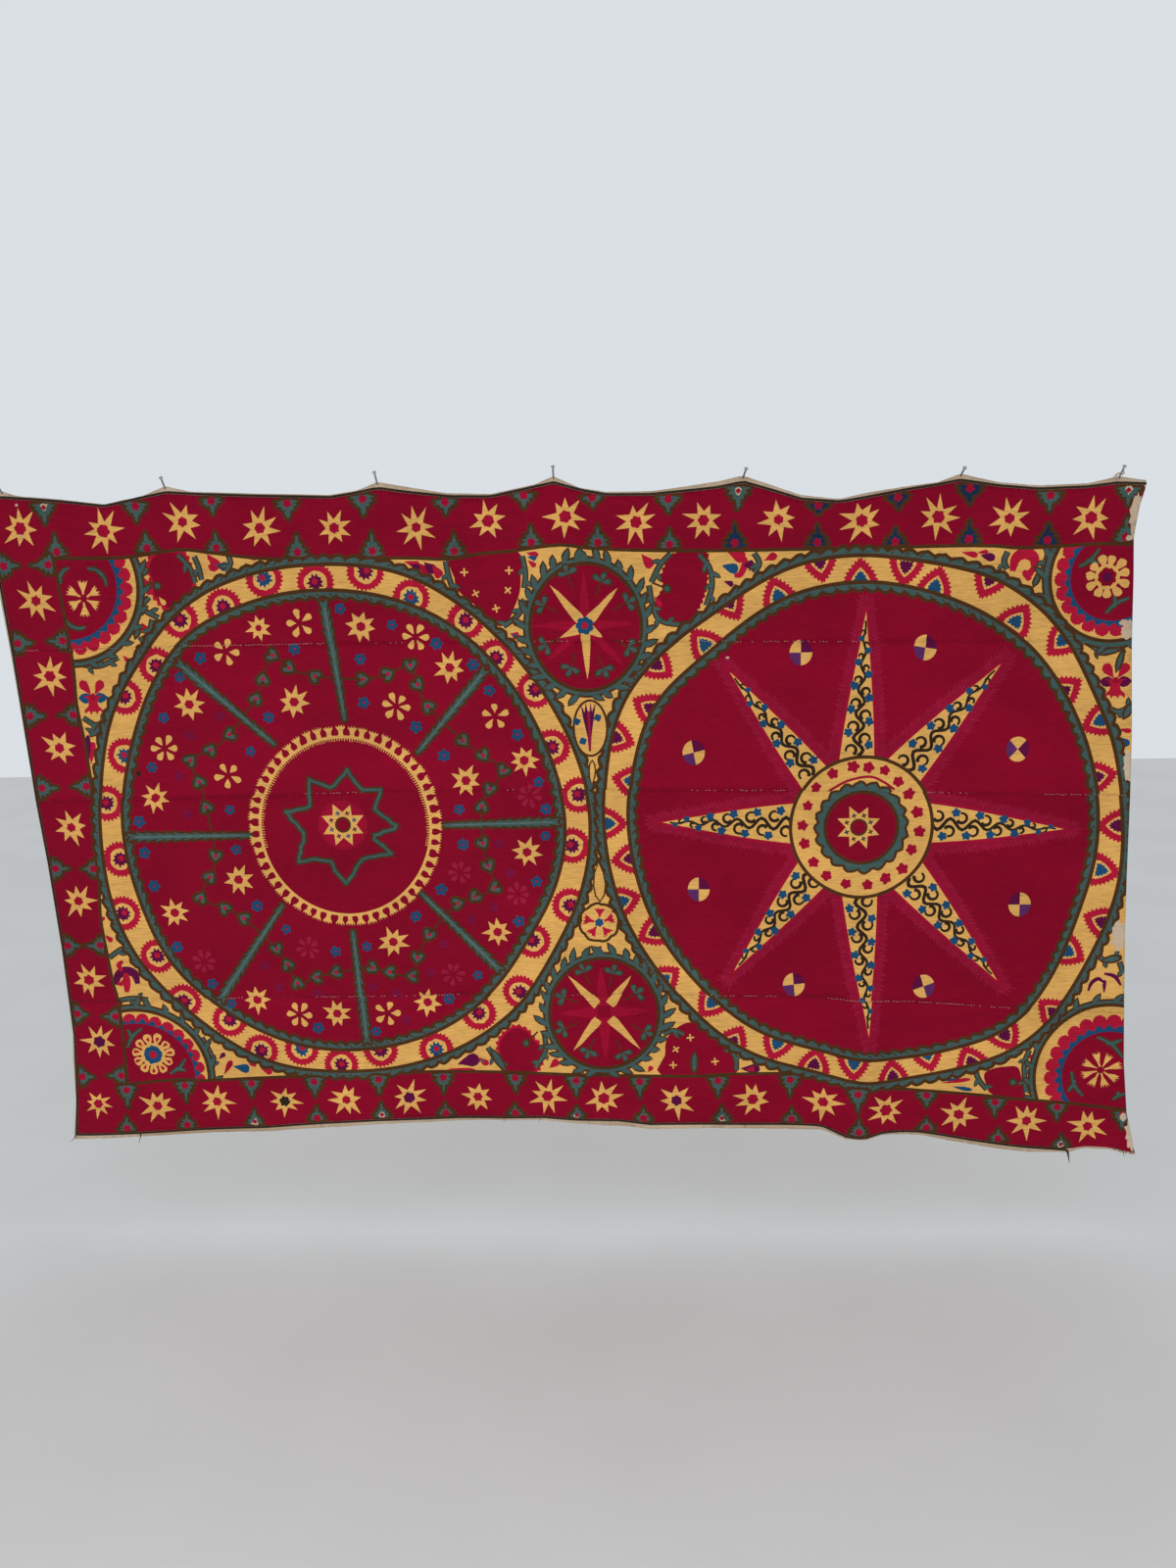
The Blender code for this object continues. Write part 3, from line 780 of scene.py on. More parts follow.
def middle_star(centre, core_radius=0.018, colours=("blue", "plum")):
    """The small eight-pointed star with dark crosses and a ringed centre."""
    star("yellow", centre, 0.050, 8, 0.58, 0.04, turn=math.pi / 8)
    centre = np.asarray(centre, dtype=float)
    for index in range(8):
        colour = colours[index % 2]
        cross(colour, centre + unit(math.pi / 8 + index * math.pi / 4) * 0.0275, 0.0055, 0.0030, 0.4)
    paint("brown", oval(centre, core_radius, core_radius, 20))
    paint("crimson", oval(centre, core_radius - 0.0045, core_radius - 0.0045, 20))


def left_field():
    """Everything inside the left medallion's inner ring."""
    for x, z in PLUM_FLOWERS:
        blossom("faint_plum", (x, z), 0.012, 5, 0.45)
    for x, z in PINK_FLOWERS:
        petals("pink", (x, z), 7, 0.006, 0.027, 0.013)
    vine = [place for run in HEART_RUNS for place in run]
    stroke("brown", smooth(vine, 4, closed=True), 0.0044, closed=True)
    for outer_x, outer_z, tip_x, tip_z in SPEARS:
        spear((outer_x, outer_z), (tip_x, tip_z))
    for run in HEART_RUNS:
        for place, after in zip(run, run[1:] + run[-2:-1]):
            way = math.atan2(after[1] - place[1], after[0] - place[0])
            heart(place, way + math.pi / 2 + HAND.uniform(-0.4, 0.4))
    for x, z, radius in FIELD_STARS:
        star("yellow", (x, z), radius, 8, 0.50, 0.10)
        blossom("rose", (x, z), 0.0105 if radius > 0.033 else 0.0075, 6, 0.20)
    for index, (x, z) in enumerate(YELLOW_FLOWERS):
        petals("yellow", (x, z), 5 + index % 2, 0.007, 0.0300, 0.0165)
    for x, z in BLUE_FLOWERS:
        blossom("blue", (x, z), HAND.uniform(0.0120, 0.0150), 5 + HAND.randrange(2), 0.50)
        blossom("rose", (x, z), 0.0030, 3, 0.2)
    comb_ring((-0.51, 0.776), 0.190, 0.200)
    bend = shaken(evenly(np.array(ZIGZAG + ZIGZAG[:1]), 0.012)[:-1], 0.0012)
    for index, place in enumerate(bend):
        ahead = bend[(index + 1) % len(bend)] - bend[index - 1]
        ahead = ahead / max(float(np.linalg.norm(ahead)), 1e-9)
        across = np.array((-ahead[1], ahead[0])) * (1 if index % 2 else -1)
        shaped("brown", LEAF, place, place + ahead * 0.008 + across * 0.0085, 0.0080, shake=0.0004)
    sharp_stroke("brown", bend, 0.0138, closed=True)
    sharp_stroke("teal", bend, 0.0066, closed=True)
    serrated("halo", (-0.514, 0.781), 0.060, 50, 0.008)
    star("rose", (-0.514, 0.781), 0.056, 24, 0.86, 0.06)
    middle_star((-0.514, 0.781))


# Right medallion
RIGHT_CENTRE = (0.6175, 0.757)
RIGHT_OUTER = (
    (0.34, 1.245), (0.44, 1.31), (0.60, 1.3375), (0.74, 1.315), (0.84, 1.30), (0.94, 1.25), (1.035, 1.155),
    (1.085, 1.05), (1.135, 0.955), (1.1575, 0.84), (1.1725, 0.72), (1.1625, 0.585), (1.135, 0.51),
    (1.08, 0.39),
    (1.00, 0.275), (0.905, 0.23), (0.76, 0.19), (0.62, 0.174), (0.54, 0.20), (0.44, 0.22), (0.34, 0.265),
    (0.25, 0.35), (0.155, 0.47), (0.10, 0.57), (0.0675, 0.71), (0.0625, 0.745), (0.07, 0.90), (0.095, 1.025),
    (0.15, 1.105), (0.24, 1.18),
)
RIGHT_INNER = (
    (0.34, 1.18), (0.44, 1.25), (0.60, 1.2825), (0.74, 1.26), (0.855, 1.215), (0.97, 1.13), (1.03, 1.045),
    (1.095, 0.90), (1.12, 0.72), (1.08, 0.55), (1.025, 0.40), (0.955, 0.305), (0.865, 0.2675), (0.64, 0.23),
    (0.515, 0.2575), (0.415, 0.285), (0.26, 0.415), (0.17, 0.545), (0.125, 0.69), (0.115, 0.745),
    (0.1275, 0.90), (0.17, 1.035), (0.26, 1.115),
)
# Drops of the band, those on the outer ring and those on the inner ring: x, z, colour of the core
OUTER_DROPS = (
    (0.5225, 1.315, "plum"), (0.6975, 1.3025, "plum"), (0.3375, 1.2375, "plum"), (0.8675, 1.2725, "plum"),
    (1.0175, 1.145, "blue"), (1.1025, 0.9775, "blue"), (1.15, 0.755, "plum"), (1.13, 0.545, "plum"),
    (1.035, 0.3425, "plum"), (0.8625, 0.23, "plum"), (0.6925, 0.1975, "plum"), (0.521, 0.225, "plum"),
    (0.3425, 0.28, "plum"), (0.195, 0.425, "blue"), (0.1075, 0.6025, "blue"), (0.08, 0.775, "blue"),
    (0.0975, 0.96, "plum"), (0.185, 1.1125, "plum"),
)
INNER_DROPS = (
    (0.605, 1.2975, "blue"), (0.4325, 1.265, "blue"), (0.275, 1.165, "blue"), (0.7625, 1.2775, "blue"),
    (0.9325, 1.20, "blue"), (1.04, 1.05, "plum"), (1.12, 0.8625, "plum"), (1.14, 0.655, "blue"),
    (1.0775, 0.47, "blue"), (0.9425, 0.2775, "plum"), (0.7725, 0.23, "blue"), (0.605, 0.215, "blue"),
    (0.434, 0.2575, "blue"), (0.285, 0.3575, "blue"), (0.16, 0.525, "plum"), (0.1075, 0.695, "plum"),
    (0.11, 0.87, "blue"), (0.155, 1.03, "plum"),
)
# Spikes: x and z of the two base ends and of the tip
SPIKES = (
    (0.565, 0.915, 0.6415, 0.915, 0.6185, 1.22), (0.535, 0.90, 0.485, 0.8475, 0.3325, 1.10),
    (0.475, 0.815, 0.4625, 0.7225, 0.1875, 0.776), (0.485, 0.6875, 0.54, 0.625, 0.3425, 0.4375),
    (0.576, 0.6075, 0.655, 0.6075, 0.6375, 0.286), (0.6925, 0.615, 0.755, 0.675, 0.9175, 0.4125),
    (0.77, 0.72, 0.765, 0.81, 1.0475, 0.749), (0.74, 0.855, 0.67, 0.91, 0.899, 1.105),
)
# The hub's centre and the small flowers round it: x, z
HUB = (0.6175, 0.759)
HUB_FLOWERS = (
    (0.5525, 0.8775), (0.595, 0.8925), (0.6275, 0.89), (0.6625, 0.8825), (0.6925, 0.8575), (0.7175, 0.83),
    (0.7365, 0.79), (0.7425, 0.7475), (0.7265, 0.7075), (0.7075, 0.665), (0.671, 0.645), (0.6315, 0.6325),
    (0.585, 0.635), (0.544, 0.6525), (0.516, 0.6825), (0.496, 0.724), (0.4915, 0.764), (0.5025, 0.8075),
    (0.5175, 0.8475),
)
# Quartered ovals: x, z, turn
OVALS = (
    (0.4825, 1.1375, 0.00), (0.7425, 1.1425, -0.15), (0.255, 0.928, 0.20), (0.941, 0.924, -0.80),
    (0.266, 0.625, 0.00), (0.960, 0.5835, 1.57), (0.475, 0.404, 0.10), (0.760, 0.3975, 1.90),
)
DROP = (
    (-0.50, 0.0), (-0.52, 0.22), (-0.40, 0.52), (-0.20, 0.80), (0.0, 1.0), (0.20, 0.80), (0.40, 0.52),
    (0.52, 0.22), (0.50, 0.0),
)


def toothed(outline, pitch, depth):
    """A closed outline with saw teeth outward."""
    line = evenly(np.vstack((outline, outline[:1])), pitch / 2)[:-1]
    middle = line.mean(axis=0)
    rays = line - middle
    rays /= np.maximum(np.linalg.norm(rays, axis=1, keepdims=True), 1e-9)
    reach = np.where(np.arange(len(line)) % 2 == 0, depth, 0.0)
    return line + rays * reach[:, None]


def drop(centre, direction, core):
    """A red serrated drop with a yellow inside and a small core, its point along a direction."""
    angle = math.atan2(direction[1], direction[0]) - math.pi / 2
    centre = np.asarray(centre, dtype=float)
    ray = np.asarray(direction, dtype=float)
    for colour, width, height, start, depth in (
        ("bright_red", 0.066, 0.062, -0.030, 0.0058),
        ("yellow", 0.040, 0.038, -0.024, 0.0),
        (core, 0.024, 0.024, -0.018, 0.0035),
    ):
        form = np.array(DROP) * (width, height)
        outline = placed(form, centre + ray * start, angle)
        if depth:
            outline = toothed(outline, 0.0085 if depth > 0.004 else 0.007, depth)
        paint(colour, outline)


def right_band():
    """The drops of the right medallion's yellow band."""
    middle = np.array(RIGHT_CENTRE)
    for table, sign in ((OUTER_DROPS, -1.0), (INNER_DROPS, 1.0)):
        for x, z, core in table:
            ray = np.array((x, z)) - middle
            ray *= sign / np.linalg.norm(ray)
            drop((x, z), ray, core)


def feather(outline, axis):
    """Short light stitches that slant out from the edge of a halo."""
    line = evenly(outline, 0.0085)
    normals = sideways(line)
    for place, normal in zip(line[1:-1], normals[1:-1]):
        if HAND.random() < 0.35:
            continue
        start = place + normal * HAND.uniform(0.0, 0.012)
        end = place - normal * HAND.uniform(0.003, 0.009) + axis * 0.006
        stroke("pink", (start, end), (0.0026, 0.0014))


def spike(base_a, base_b, tip):
    """A yellow spike with a red edge, a feathered halo, a scrolled stem and blue flowers."""
    base_a, base_b, tip = (np.asarray(point, dtype=float) for point in (base_a, base_b, tip))
    base = (base_a + base_b) / 2
    length = float(np.linalg.norm(tip - base))
    axis = (tip - base) / length
    across = np.array((axis[1], -axis[0]))
    half = float(np.linalg.norm(base_b - base_a)) / 2
    root = base - axis * SPIKE_ROOT
    marks = np.linspace(0.0, 1.0, 12)
    widths = half * (1.0 - marks) ** 0.92 * (1.0 + 0.12 * np.sin(np.pi * marks))
    for colour, more, beyond in (("halo", 0.024, 0.030), ("rose", 0.0064, 0.010), ("yellow", 0.0, 0.0)):
        reach = length + SPIKE_ROOT + beyond
        sides = ([], [])
        for points, side in zip(sides, (1, -1)):
            for mark, width in zip(marks, widths):
                wide = width + more * (1.0 - 0.45 * mark)
                points.append(root + axis * reach * mark + across * side * wide)
        outline = np.array(sides[0] + [root + axis * reach] + sides[1][::-1])
        if colour == "halo":
            paint(colour, toothed(outline, 0.011, 0.006))
            feather(outline, axis)
            continue
        paint(colour, outline)
    steps = max(int(length / 0.0270), 6)
    stem = []
    for index in range(steps * 4 + 1):
        mark = 0.94 * index / (steps * 4)
        width = float(np.interp(mark, marks, widths))
        sway = 0.30 * width * math.sin(math.pi * index / 4)
        stem.append(base + axis * length * mark + across * sway)
    stroke("dark_brown", stem, np.linspace(0.0080, 0.0042, len(stem)))
    for index in range(steps):
        mark = (index + 0.5) / steps * 0.90
        width = float(np.interp(mark, marks, widths))
        side = 1 if index % 2 else -1
        curl = min(max(width * 0.34, 0.0042), 0.0108)
        middle = base + axis * length * mark + across * side * width * 0.38
        angles = np.linspace(-2.6, 1.9, 10)
        hook = [middle + curl * (math.cos(a) * axis + side * math.sin(a) * across) for a in angles]
        stroke("dark_brown", hook, np.linspace(0.0080, 0.0046, 10) * min(1.0, 0.55 + width * 20))
        if width > 0.008:
            place = base + axis * length * (mark + 0.45 / steps) - across * side * width * 0.62
            blossom("blue", place, min(0.0105, 0.004 + width * 0.26), 5, 0.45)


def right_field():
    """Everything inside the right medallion's inner ring."""
    for ax, az, bx, bz, tip_x, tip_z in SPIKES:
        spike((ax, az), (bx, bz), (tip_x, tip_z))
    for x, z, turn in OVALS:
        quartered((x, z), 0.0240, 0.0270, turn)
    hub = oval(HUB, 0.152, 0.154, 72)
    edged("yellow", hub, "brown", 0.0075)
    for x, z in HUB_FLOWERS:
        blossom("rose", (x, z), HAND.uniform(0.0115, 0.0140), 5, 0.42)
    arc = ((0.545, 0.84), (0.585, 0.862), (0.63, 0.870), (0.66, 0.858), (0.685, 0.84))
    stroke("rose", smooth(arc, 4), 0.0055)
    disc = oval(HUB, 0.078, 0.078, 60)
    edged("teal", scalloped(disc, HUB, 0.022, 0.024), "brown", 0.0058)
    edged("crimson", disc, "brown", 0.0070)
    middle_star((0.611, 0.760), 0.019, ("navy", "dark_brown"))


# Small medallions between the two large ones
def wreath(centre, rx, rz):
    """A leafy teal ring round a crimson oval."""
    leaf_ring(centre, rx + 0.006, rz + 0.006)
    edged("crimson", oval(centre, rx, rz, 60), "brown", 0.0080)


def ray_from(centre, tip, width, colour, start=0.014):
    """A long pointed ray."""
    centre = np.asarray(centre, dtype=float)
    tip = np.asarray(tip, dtype=float)
    axis = (tip - centre) / np.linalg.norm(tip - centre)
    form = mirrored(((0.44, 0.0), (0.50, 0.10), (0.36, 0.42), (0.20, 0.76), (0.0, 1.0)))
    shaped(colour, form, centre + axis * start, tip, width)


def clover(centre, away_from):
    """Three oval leaves on a short stem."""
    size = CLOVER_SIZE
    centre = np.asarray(centre, dtype=float)
    back = np.asarray(away_from, dtype=float) - centre
    back /= np.linalg.norm(back)
    angle = math.atan2(-back[1], -back[0])
    stroke("brown", (centre, centre + back * size * 1.5), 0.0034)
    tips = [centre + unit(angle + lean) * size for lean in (-1.25, 0.0, 1.25)]
    for tip in tips:
        shaped("brown", PETAL, centre - (tip - centre) * 0.2, tip + (tip - centre) * 0.12, size * 0.88)
    for tip in tips:
        shaped("teal", PETAL, centre, tip - (tip - centre) * 0.06, size * 0.56)


def small_medallions():
    """The upper and the lower small medallion."""
    wreath((0.03, 1.20), 0.118, 0.134)
    middle = (0.028, 1.204)
    for tip in ((0.0275, 1.32), (-0.085, 1.206), (0.135, 1.206), (-0.055, 1.13), (0.11, 1.115)):
        ray_from(middle, tip, 0.022, "rose")
    for tip in ((-0.044, 1.291), (0.099, 1.281), (0.031, 1.09), (-0.025, 1.179), (0.065, 1.178)):
        ray_from(middle, tip, 0.021, "yellow")
    blossom("blue", middle, 0.020, 7, 0.30)
    blossom("bright_red", middle, 0.008, 4, 0.30)
    for place in (
        (-0.005, 1.3125), (0.065, 1.295), (-0.0575, 1.2475), (0.1175, 1.25), (-0.055, 1.165),
        (0.1175, 1.1575), (-0.005, 1.1175), (0.065, 1.1125),
    ):
        clover(place, middle)
    wreath((0.05, 0.341), 0.122, 0.129)
    middle = (0.05, 0.345)
    for tip in ((0.047, 0.453), (-0.055, 0.342), (0.155, 0.345), (0.052, 0.228)):
        ray_from(middle, tip, 0.028, "rose")
    for tip in ((-0.026, 0.4325), (0.115, 0.429), (-0.021, 0.255), (0.131, 0.255)):
        ray_from(middle, tip, 0.022, "yellow", 0.022)
    for place in (
        (0.01, 0.44), (0.074, 0.435), (-0.0375, 0.38), (0.1225, 0.3875), (-0.04, 0.3075), (0.015, 0.255),
        (0.09, 0.2475), (0.14, 0.2975),
    ):
        clover(place, middle)


def middle_motifs():
    """The small motifs on the line between the two large medallions."""
    low = (0.046, 0.5525)
    edged("yellow", scalloped(oval(low, 0.036, 0.036, 40), low, 0.008, 0.028), "brown", 0.006)
    petals("bright_red", low, 5, 0.012, 0.036, 0.028, FORKED_PETAL, math.pi / 2)
    blossom("blue", low, 0.0105, 6, 0.35)
    edged("yellow", oval((0.034, 0.985), 0.036, 0.060, 30), "brown", 0.0050)
    shaped("plum", FORKED_PETAL, (0.032, 0.935), (0.030, 1.040), 0.034)
    stroke("pink", ((0.032, 0.940), (0.031, 1.020)), 0.0050)
    for place in ((0.005, 1.0), (0.05, 1.0075), (0.0175, 0.9575)):
        blossom("blue", place, 0.0085, 4, 0.35)
    shaped("yellow", LEAF, (0.037, 0.915), (0.034, 0.862), 0.016, "brown")
    shaped("yellow", LEAF, (0.049, 0.600), (0.047, 0.690), 0.030, "brown")


# Corner medallions: centre, radii of the crimson disc, blue teeth, red band, yellow band and leafy arc
CORNERS = (
    (-1.0875, 1.3125, 0.115, 0.130, 0.147, 0.161, 0.173),
    (1.1250, 1.2800, 0.090, 0.104, 0.121, 0.132, 0.146),
    (-1.0225, 0.1975, 0.128, 0.139, 0.150, 0.160, 0.172),
    (1.1700, 0.1875, 0.103, 0.119, 0.141, 0.165, 0.176),
)
# Leaves in the corner medallions: x and z of the base and the tip, side of the second blade, 0 for none
CORNER_LEAVES = (
    (-1.094, 1.318, -1.072, 1.350, 0), (-1.032, 1.348, -0.994, 1.310, 0), (-1.050, 1.224, -1.094, 1.246, 0),
    (1.052, 1.302, 1.092, 1.338, -1), (1.112, 1.206, 1.158, 1.236, 1), (-1.046, 0.268, -1.008, 0.314, 1),
    (-0.952, 0.204, -0.914, 0.238, -1), (1.140, 0.278, 1.196, 0.232, 1), (1.088, 0.196, 1.116, 0.138, -1),
    (1.180, 0.132, 1.206, 0.146, 1),
)


def lobed_band(colour, centre, radius, lobes, depth):
    """A disc with round lobes, each lobe with small teeth."""
    turn = HAND.uniform(0.0, 6.3)
    angles = np.linspace(0.0, 2 * np.pi, lobes * 10, endpoint=False)
    round_part = np.abs(np.sin(lobes * angles / 2)) ** 0.55
    teeth = np.where(np.arange(lobes * 10) % 2 == 0, 0.12, 0.0)
    reach = radius - depth * (1.0 - round_part + teeth)
    paint(colour, shaken(np.asarray(centre) + reach[:, None] * unit(angles + turn), 0.0005))


def corner_medallions():
    """The quarter medallions in the four corners."""
    for x, z, disc, blue, red, yellow, arc in CORNERS:
        centre = (x, z)
        leaf_ring(centre, arc - 0.006, arc - 0.006, 0.030, 0.040)
        edged("yellow", oval(centre, yellow, yellow, 72), "brown", 0.0076)
        lobed_band("bright_red", centre, red + 0.003, int(red * 2 * math.pi / 0.032), 0.0125)
        serrated("blue", centre, blue + 0.003, int(blue * 2 * math.pi / 0.024), 0.0125)
        paint("crimson", oval(centre, disc, disc, 64))
    for ax, az, bx, bz, side in CORNER_LEAVES:
        sprig((ax, az), (bx, bz), side)
    petals("yellow", (-1.0475, 1.285), 6, 0.008, 0.039, 0.024, FORKED_PETAL, math.pi / 2, 0.05)
    petals("yellow", (1.111, 1.28), 11, 0.018, 0.046, 0.021, PETAL, 0.2, 0.03)
    paint("yellow", oval((1.111, 1.28), 0.026, 0.026, 20))
    blossom("crimson", (1.111, 1.28), 0.0195, 8, 0.14)
    blossom("plum", (1.111, 1.28), 0.0110, 5, 0.30)
    petals("yellow", (-0.9875, 0.25), 11, 0.018, 0.051, 0.023, PETAL, 0.1, 0.03)
    petals("bright_red", (-0.9875, 0.25), 11, 0.030, 0.044, 0.009, PETAL, 0.1, 0.0)
    paint("yellow", oval((-0.9875, 0.25), 0.028, 0.028, 22))
    blossom("blue", (-0.9875, 0.25), 0.0215, 9, 0.08)
    blossom("bright_red", (-0.9875, 0.25), 0.0095, 6, 0.25)
    petals("yellow", (1.151, 0.20), 8, 0.008, 0.045, 0.019, FORKED_PETAL, 0.3, 0.05)


# Spandrels
# Crimson lobes: the kind of edge, then the outline x, z
LOBES = (
    ("red teeth", (
        (-0.900, 1.345), (-0.893, 1.320), (-0.897, 1.300), (-0.880, 1.272), (-0.865, 1.262), (-0.845, 1.268),
        (-0.825, 1.285), (-0.812, 1.300), (-0.808, 1.325), (-0.815, 1.350), (-0.828, 1.374), (-0.880, 1.374),
    )),
    ("plain", (
        (-0.247, 1.356), (-0.245, 1.310), (-0.240, 1.285), (-0.215, 1.262), (-0.190, 1.240), (-0.165, 1.215),
        (-0.150, 1.206), (-0.132, 1.220), (-0.118, 1.250), (-0.108, 1.275), (-0.104, 1.310), (-0.108, 1.360),
    )),
    ("own teeth", (
        (0.285, 1.354), (0.287, 1.300), (0.280, 1.262), (0.268, 1.235), (0.255, 1.215), (0.235, 1.204),
        (0.205, 1.202), (0.185, 1.215), (0.176, 1.240), (0.185, 1.262), (0.196, 1.280), (0.192, 1.300),
        (0.200, 1.325), (0.215, 1.345), (0.240, 1.354),
    )),
    ("red teeth", (
        (-0.188, 0.270), (-0.185, 0.240), (-0.175, 0.215), (-0.168, 0.204), (-0.118, 0.204), (-0.100, 0.222),
        (-0.092, 0.248), (-0.100, 0.268), (-0.115, 0.285), (-0.125, 0.300), (-0.150, 0.308), (-0.172, 0.295),
    )),
    ("plain", (
        (0.176, 0.194), (0.185, 0.240), (0.188, 0.275), (0.205, 0.300), (0.235, 0.318), (0.262, 0.315),
        (0.290, 0.300), (0.318, 0.275), (0.338, 0.255), (0.342, 0.225), (0.335, 0.194),
    )),
    ("plain", (
        (0.895, 0.195), (0.900, 0.170), (0.915, 0.146), (0.985, 0.136), (0.980, 0.165), (0.975, 0.195),
        (0.965, 0.212), (0.940, 0.212), (0.915, 0.208),
    )),
)
# Small yellow crosses: x, z, turn
CROSSES = (
    (-0.2235, 1.321, 0.0), (-0.1285, 1.3225, 0.0), (-0.201, 1.2765, 0.5), (-0.1325, 1.2815, 0.7),
    (-0.159, 1.244, 0.2), (0.2425, 0.2825, 0.1), (0.210, 0.255, 0.6), (0.2035, 0.2175, 0.0),
    (0.2975, 0.226, 0.1),
)
# Leafy branches of the spandrels: points x, z
BRANCHES = (
    ((-0.940, 1.366), (-0.928, 1.320), (-0.932, 1.275), (-0.925, 1.245)),
    ((-0.920, 1.352), (-0.905, 1.340), (-0.925, 1.330)),
    ((-0.905, 1.285), (-0.922, 1.262), (-0.888, 1.240)),
    ((-0.902, 1.238), (-0.914, 1.205), (-0.935, 1.192)),
    ((-0.836, 1.372), (-0.812, 1.345), (-0.802, 1.312)),
    ((-0.800, 1.368), (-0.792, 1.345), (-0.788, 1.318)),
    ((-0.725, 1.368), (-0.722, 1.350), (-0.735, 1.335)),
    ((-0.262, 1.345), (-0.258, 1.318), (-0.250, 1.288)),
    ((-0.100, 1.352), (-0.094, 1.315), (-0.098, 1.285)),
    ((-0.098, 1.262), (-0.112, 1.230), (-0.145, 1.206)),
    ((0.212, 1.350), (0.188, 1.325), (0.170, 1.290)),
    ((0.165, 1.285), (0.172, 1.245), (0.190, 1.210), (0.250, 1.200)),
    ((0.270, 1.346), (0.292, 1.318), (0.297, 1.280), (0.285, 1.240)),
    ((0.385, 1.346), (0.396, 1.325), (0.385, 1.305)),
    ((0.905, 1.336), (0.898, 1.318), (0.905, 1.300)),
    ((0.988, 1.340), (0.978, 1.300), (0.962, 1.270)),
    ((-1.078, 1.146), (-1.030, 1.140), (-0.985, 1.158)),
    ((-1.076, 1.028), (-1.050, 1.012), (-1.028, 1.020)),
    ((-1.040, 1.012), (-1.050, 0.996), (-1.066, 0.990)),
    ((-1.058, 0.380), (-1.020, 0.386), (-0.985, 0.382)), ((-1.066, 0.482), (-1.050, 0.494), (-1.034, 0.504)),
    ((-0.858, 0.198), (-0.852, 0.240), (-0.872, 0.290)),
    ((-0.215, 0.262), (-0.200, 0.235), (-0.178, 0.208)),
    ((-0.085, 0.296), (-0.084, 0.255), (-0.108, 0.214)),
    ((-0.050, 0.268), (-0.030, 0.240), (0.005, 0.215)),
    ((0.182, 0.290), (0.205, 0.300), (0.228, 0.290)),
    ((0.345, 0.205), (0.344, 0.232), (0.330, 0.258)),
    ((0.875, 0.205), (0.884, 0.180), (0.902, 0.158)),
    ((0.992, 0.250), (0.982, 0.215), (0.988, 0.150)),
    ((1.075, 1.146), (1.110, 1.128), (1.160, 1.142)),
    ((1.125, 1.008), (1.150, 1.000), (1.178, 1.018)),
    ((1.128, 0.470), (1.150, 0.455), (1.184, 0.462)),
    ((1.180, 0.452), (1.186, 0.435), (1.190, 0.425)),
)
# Single blades beside the lobes: x and z of the base and the tip, width
BLADES = (
    (0.2500, 0.198, 0.2520, 0.250, 0.018), (-0.2080, 0.258, -0.1760, 0.206, 0.020),
    (1.1600, 1.142, 1.0940, 1.118, 0.018), (1.1500, 1.128, 1.1380, 1.082, 0.015),
    (1.1740, 1.016, 1.1580, 0.984, 0.018), (1.1840, 0.462, 1.1420, 0.452, 0.018),
    (0.9700, 1.290, 0.9600, 1.262, 0.014), (-0.9300, 1.225, -0.9440, 1.196, 0.014),
)
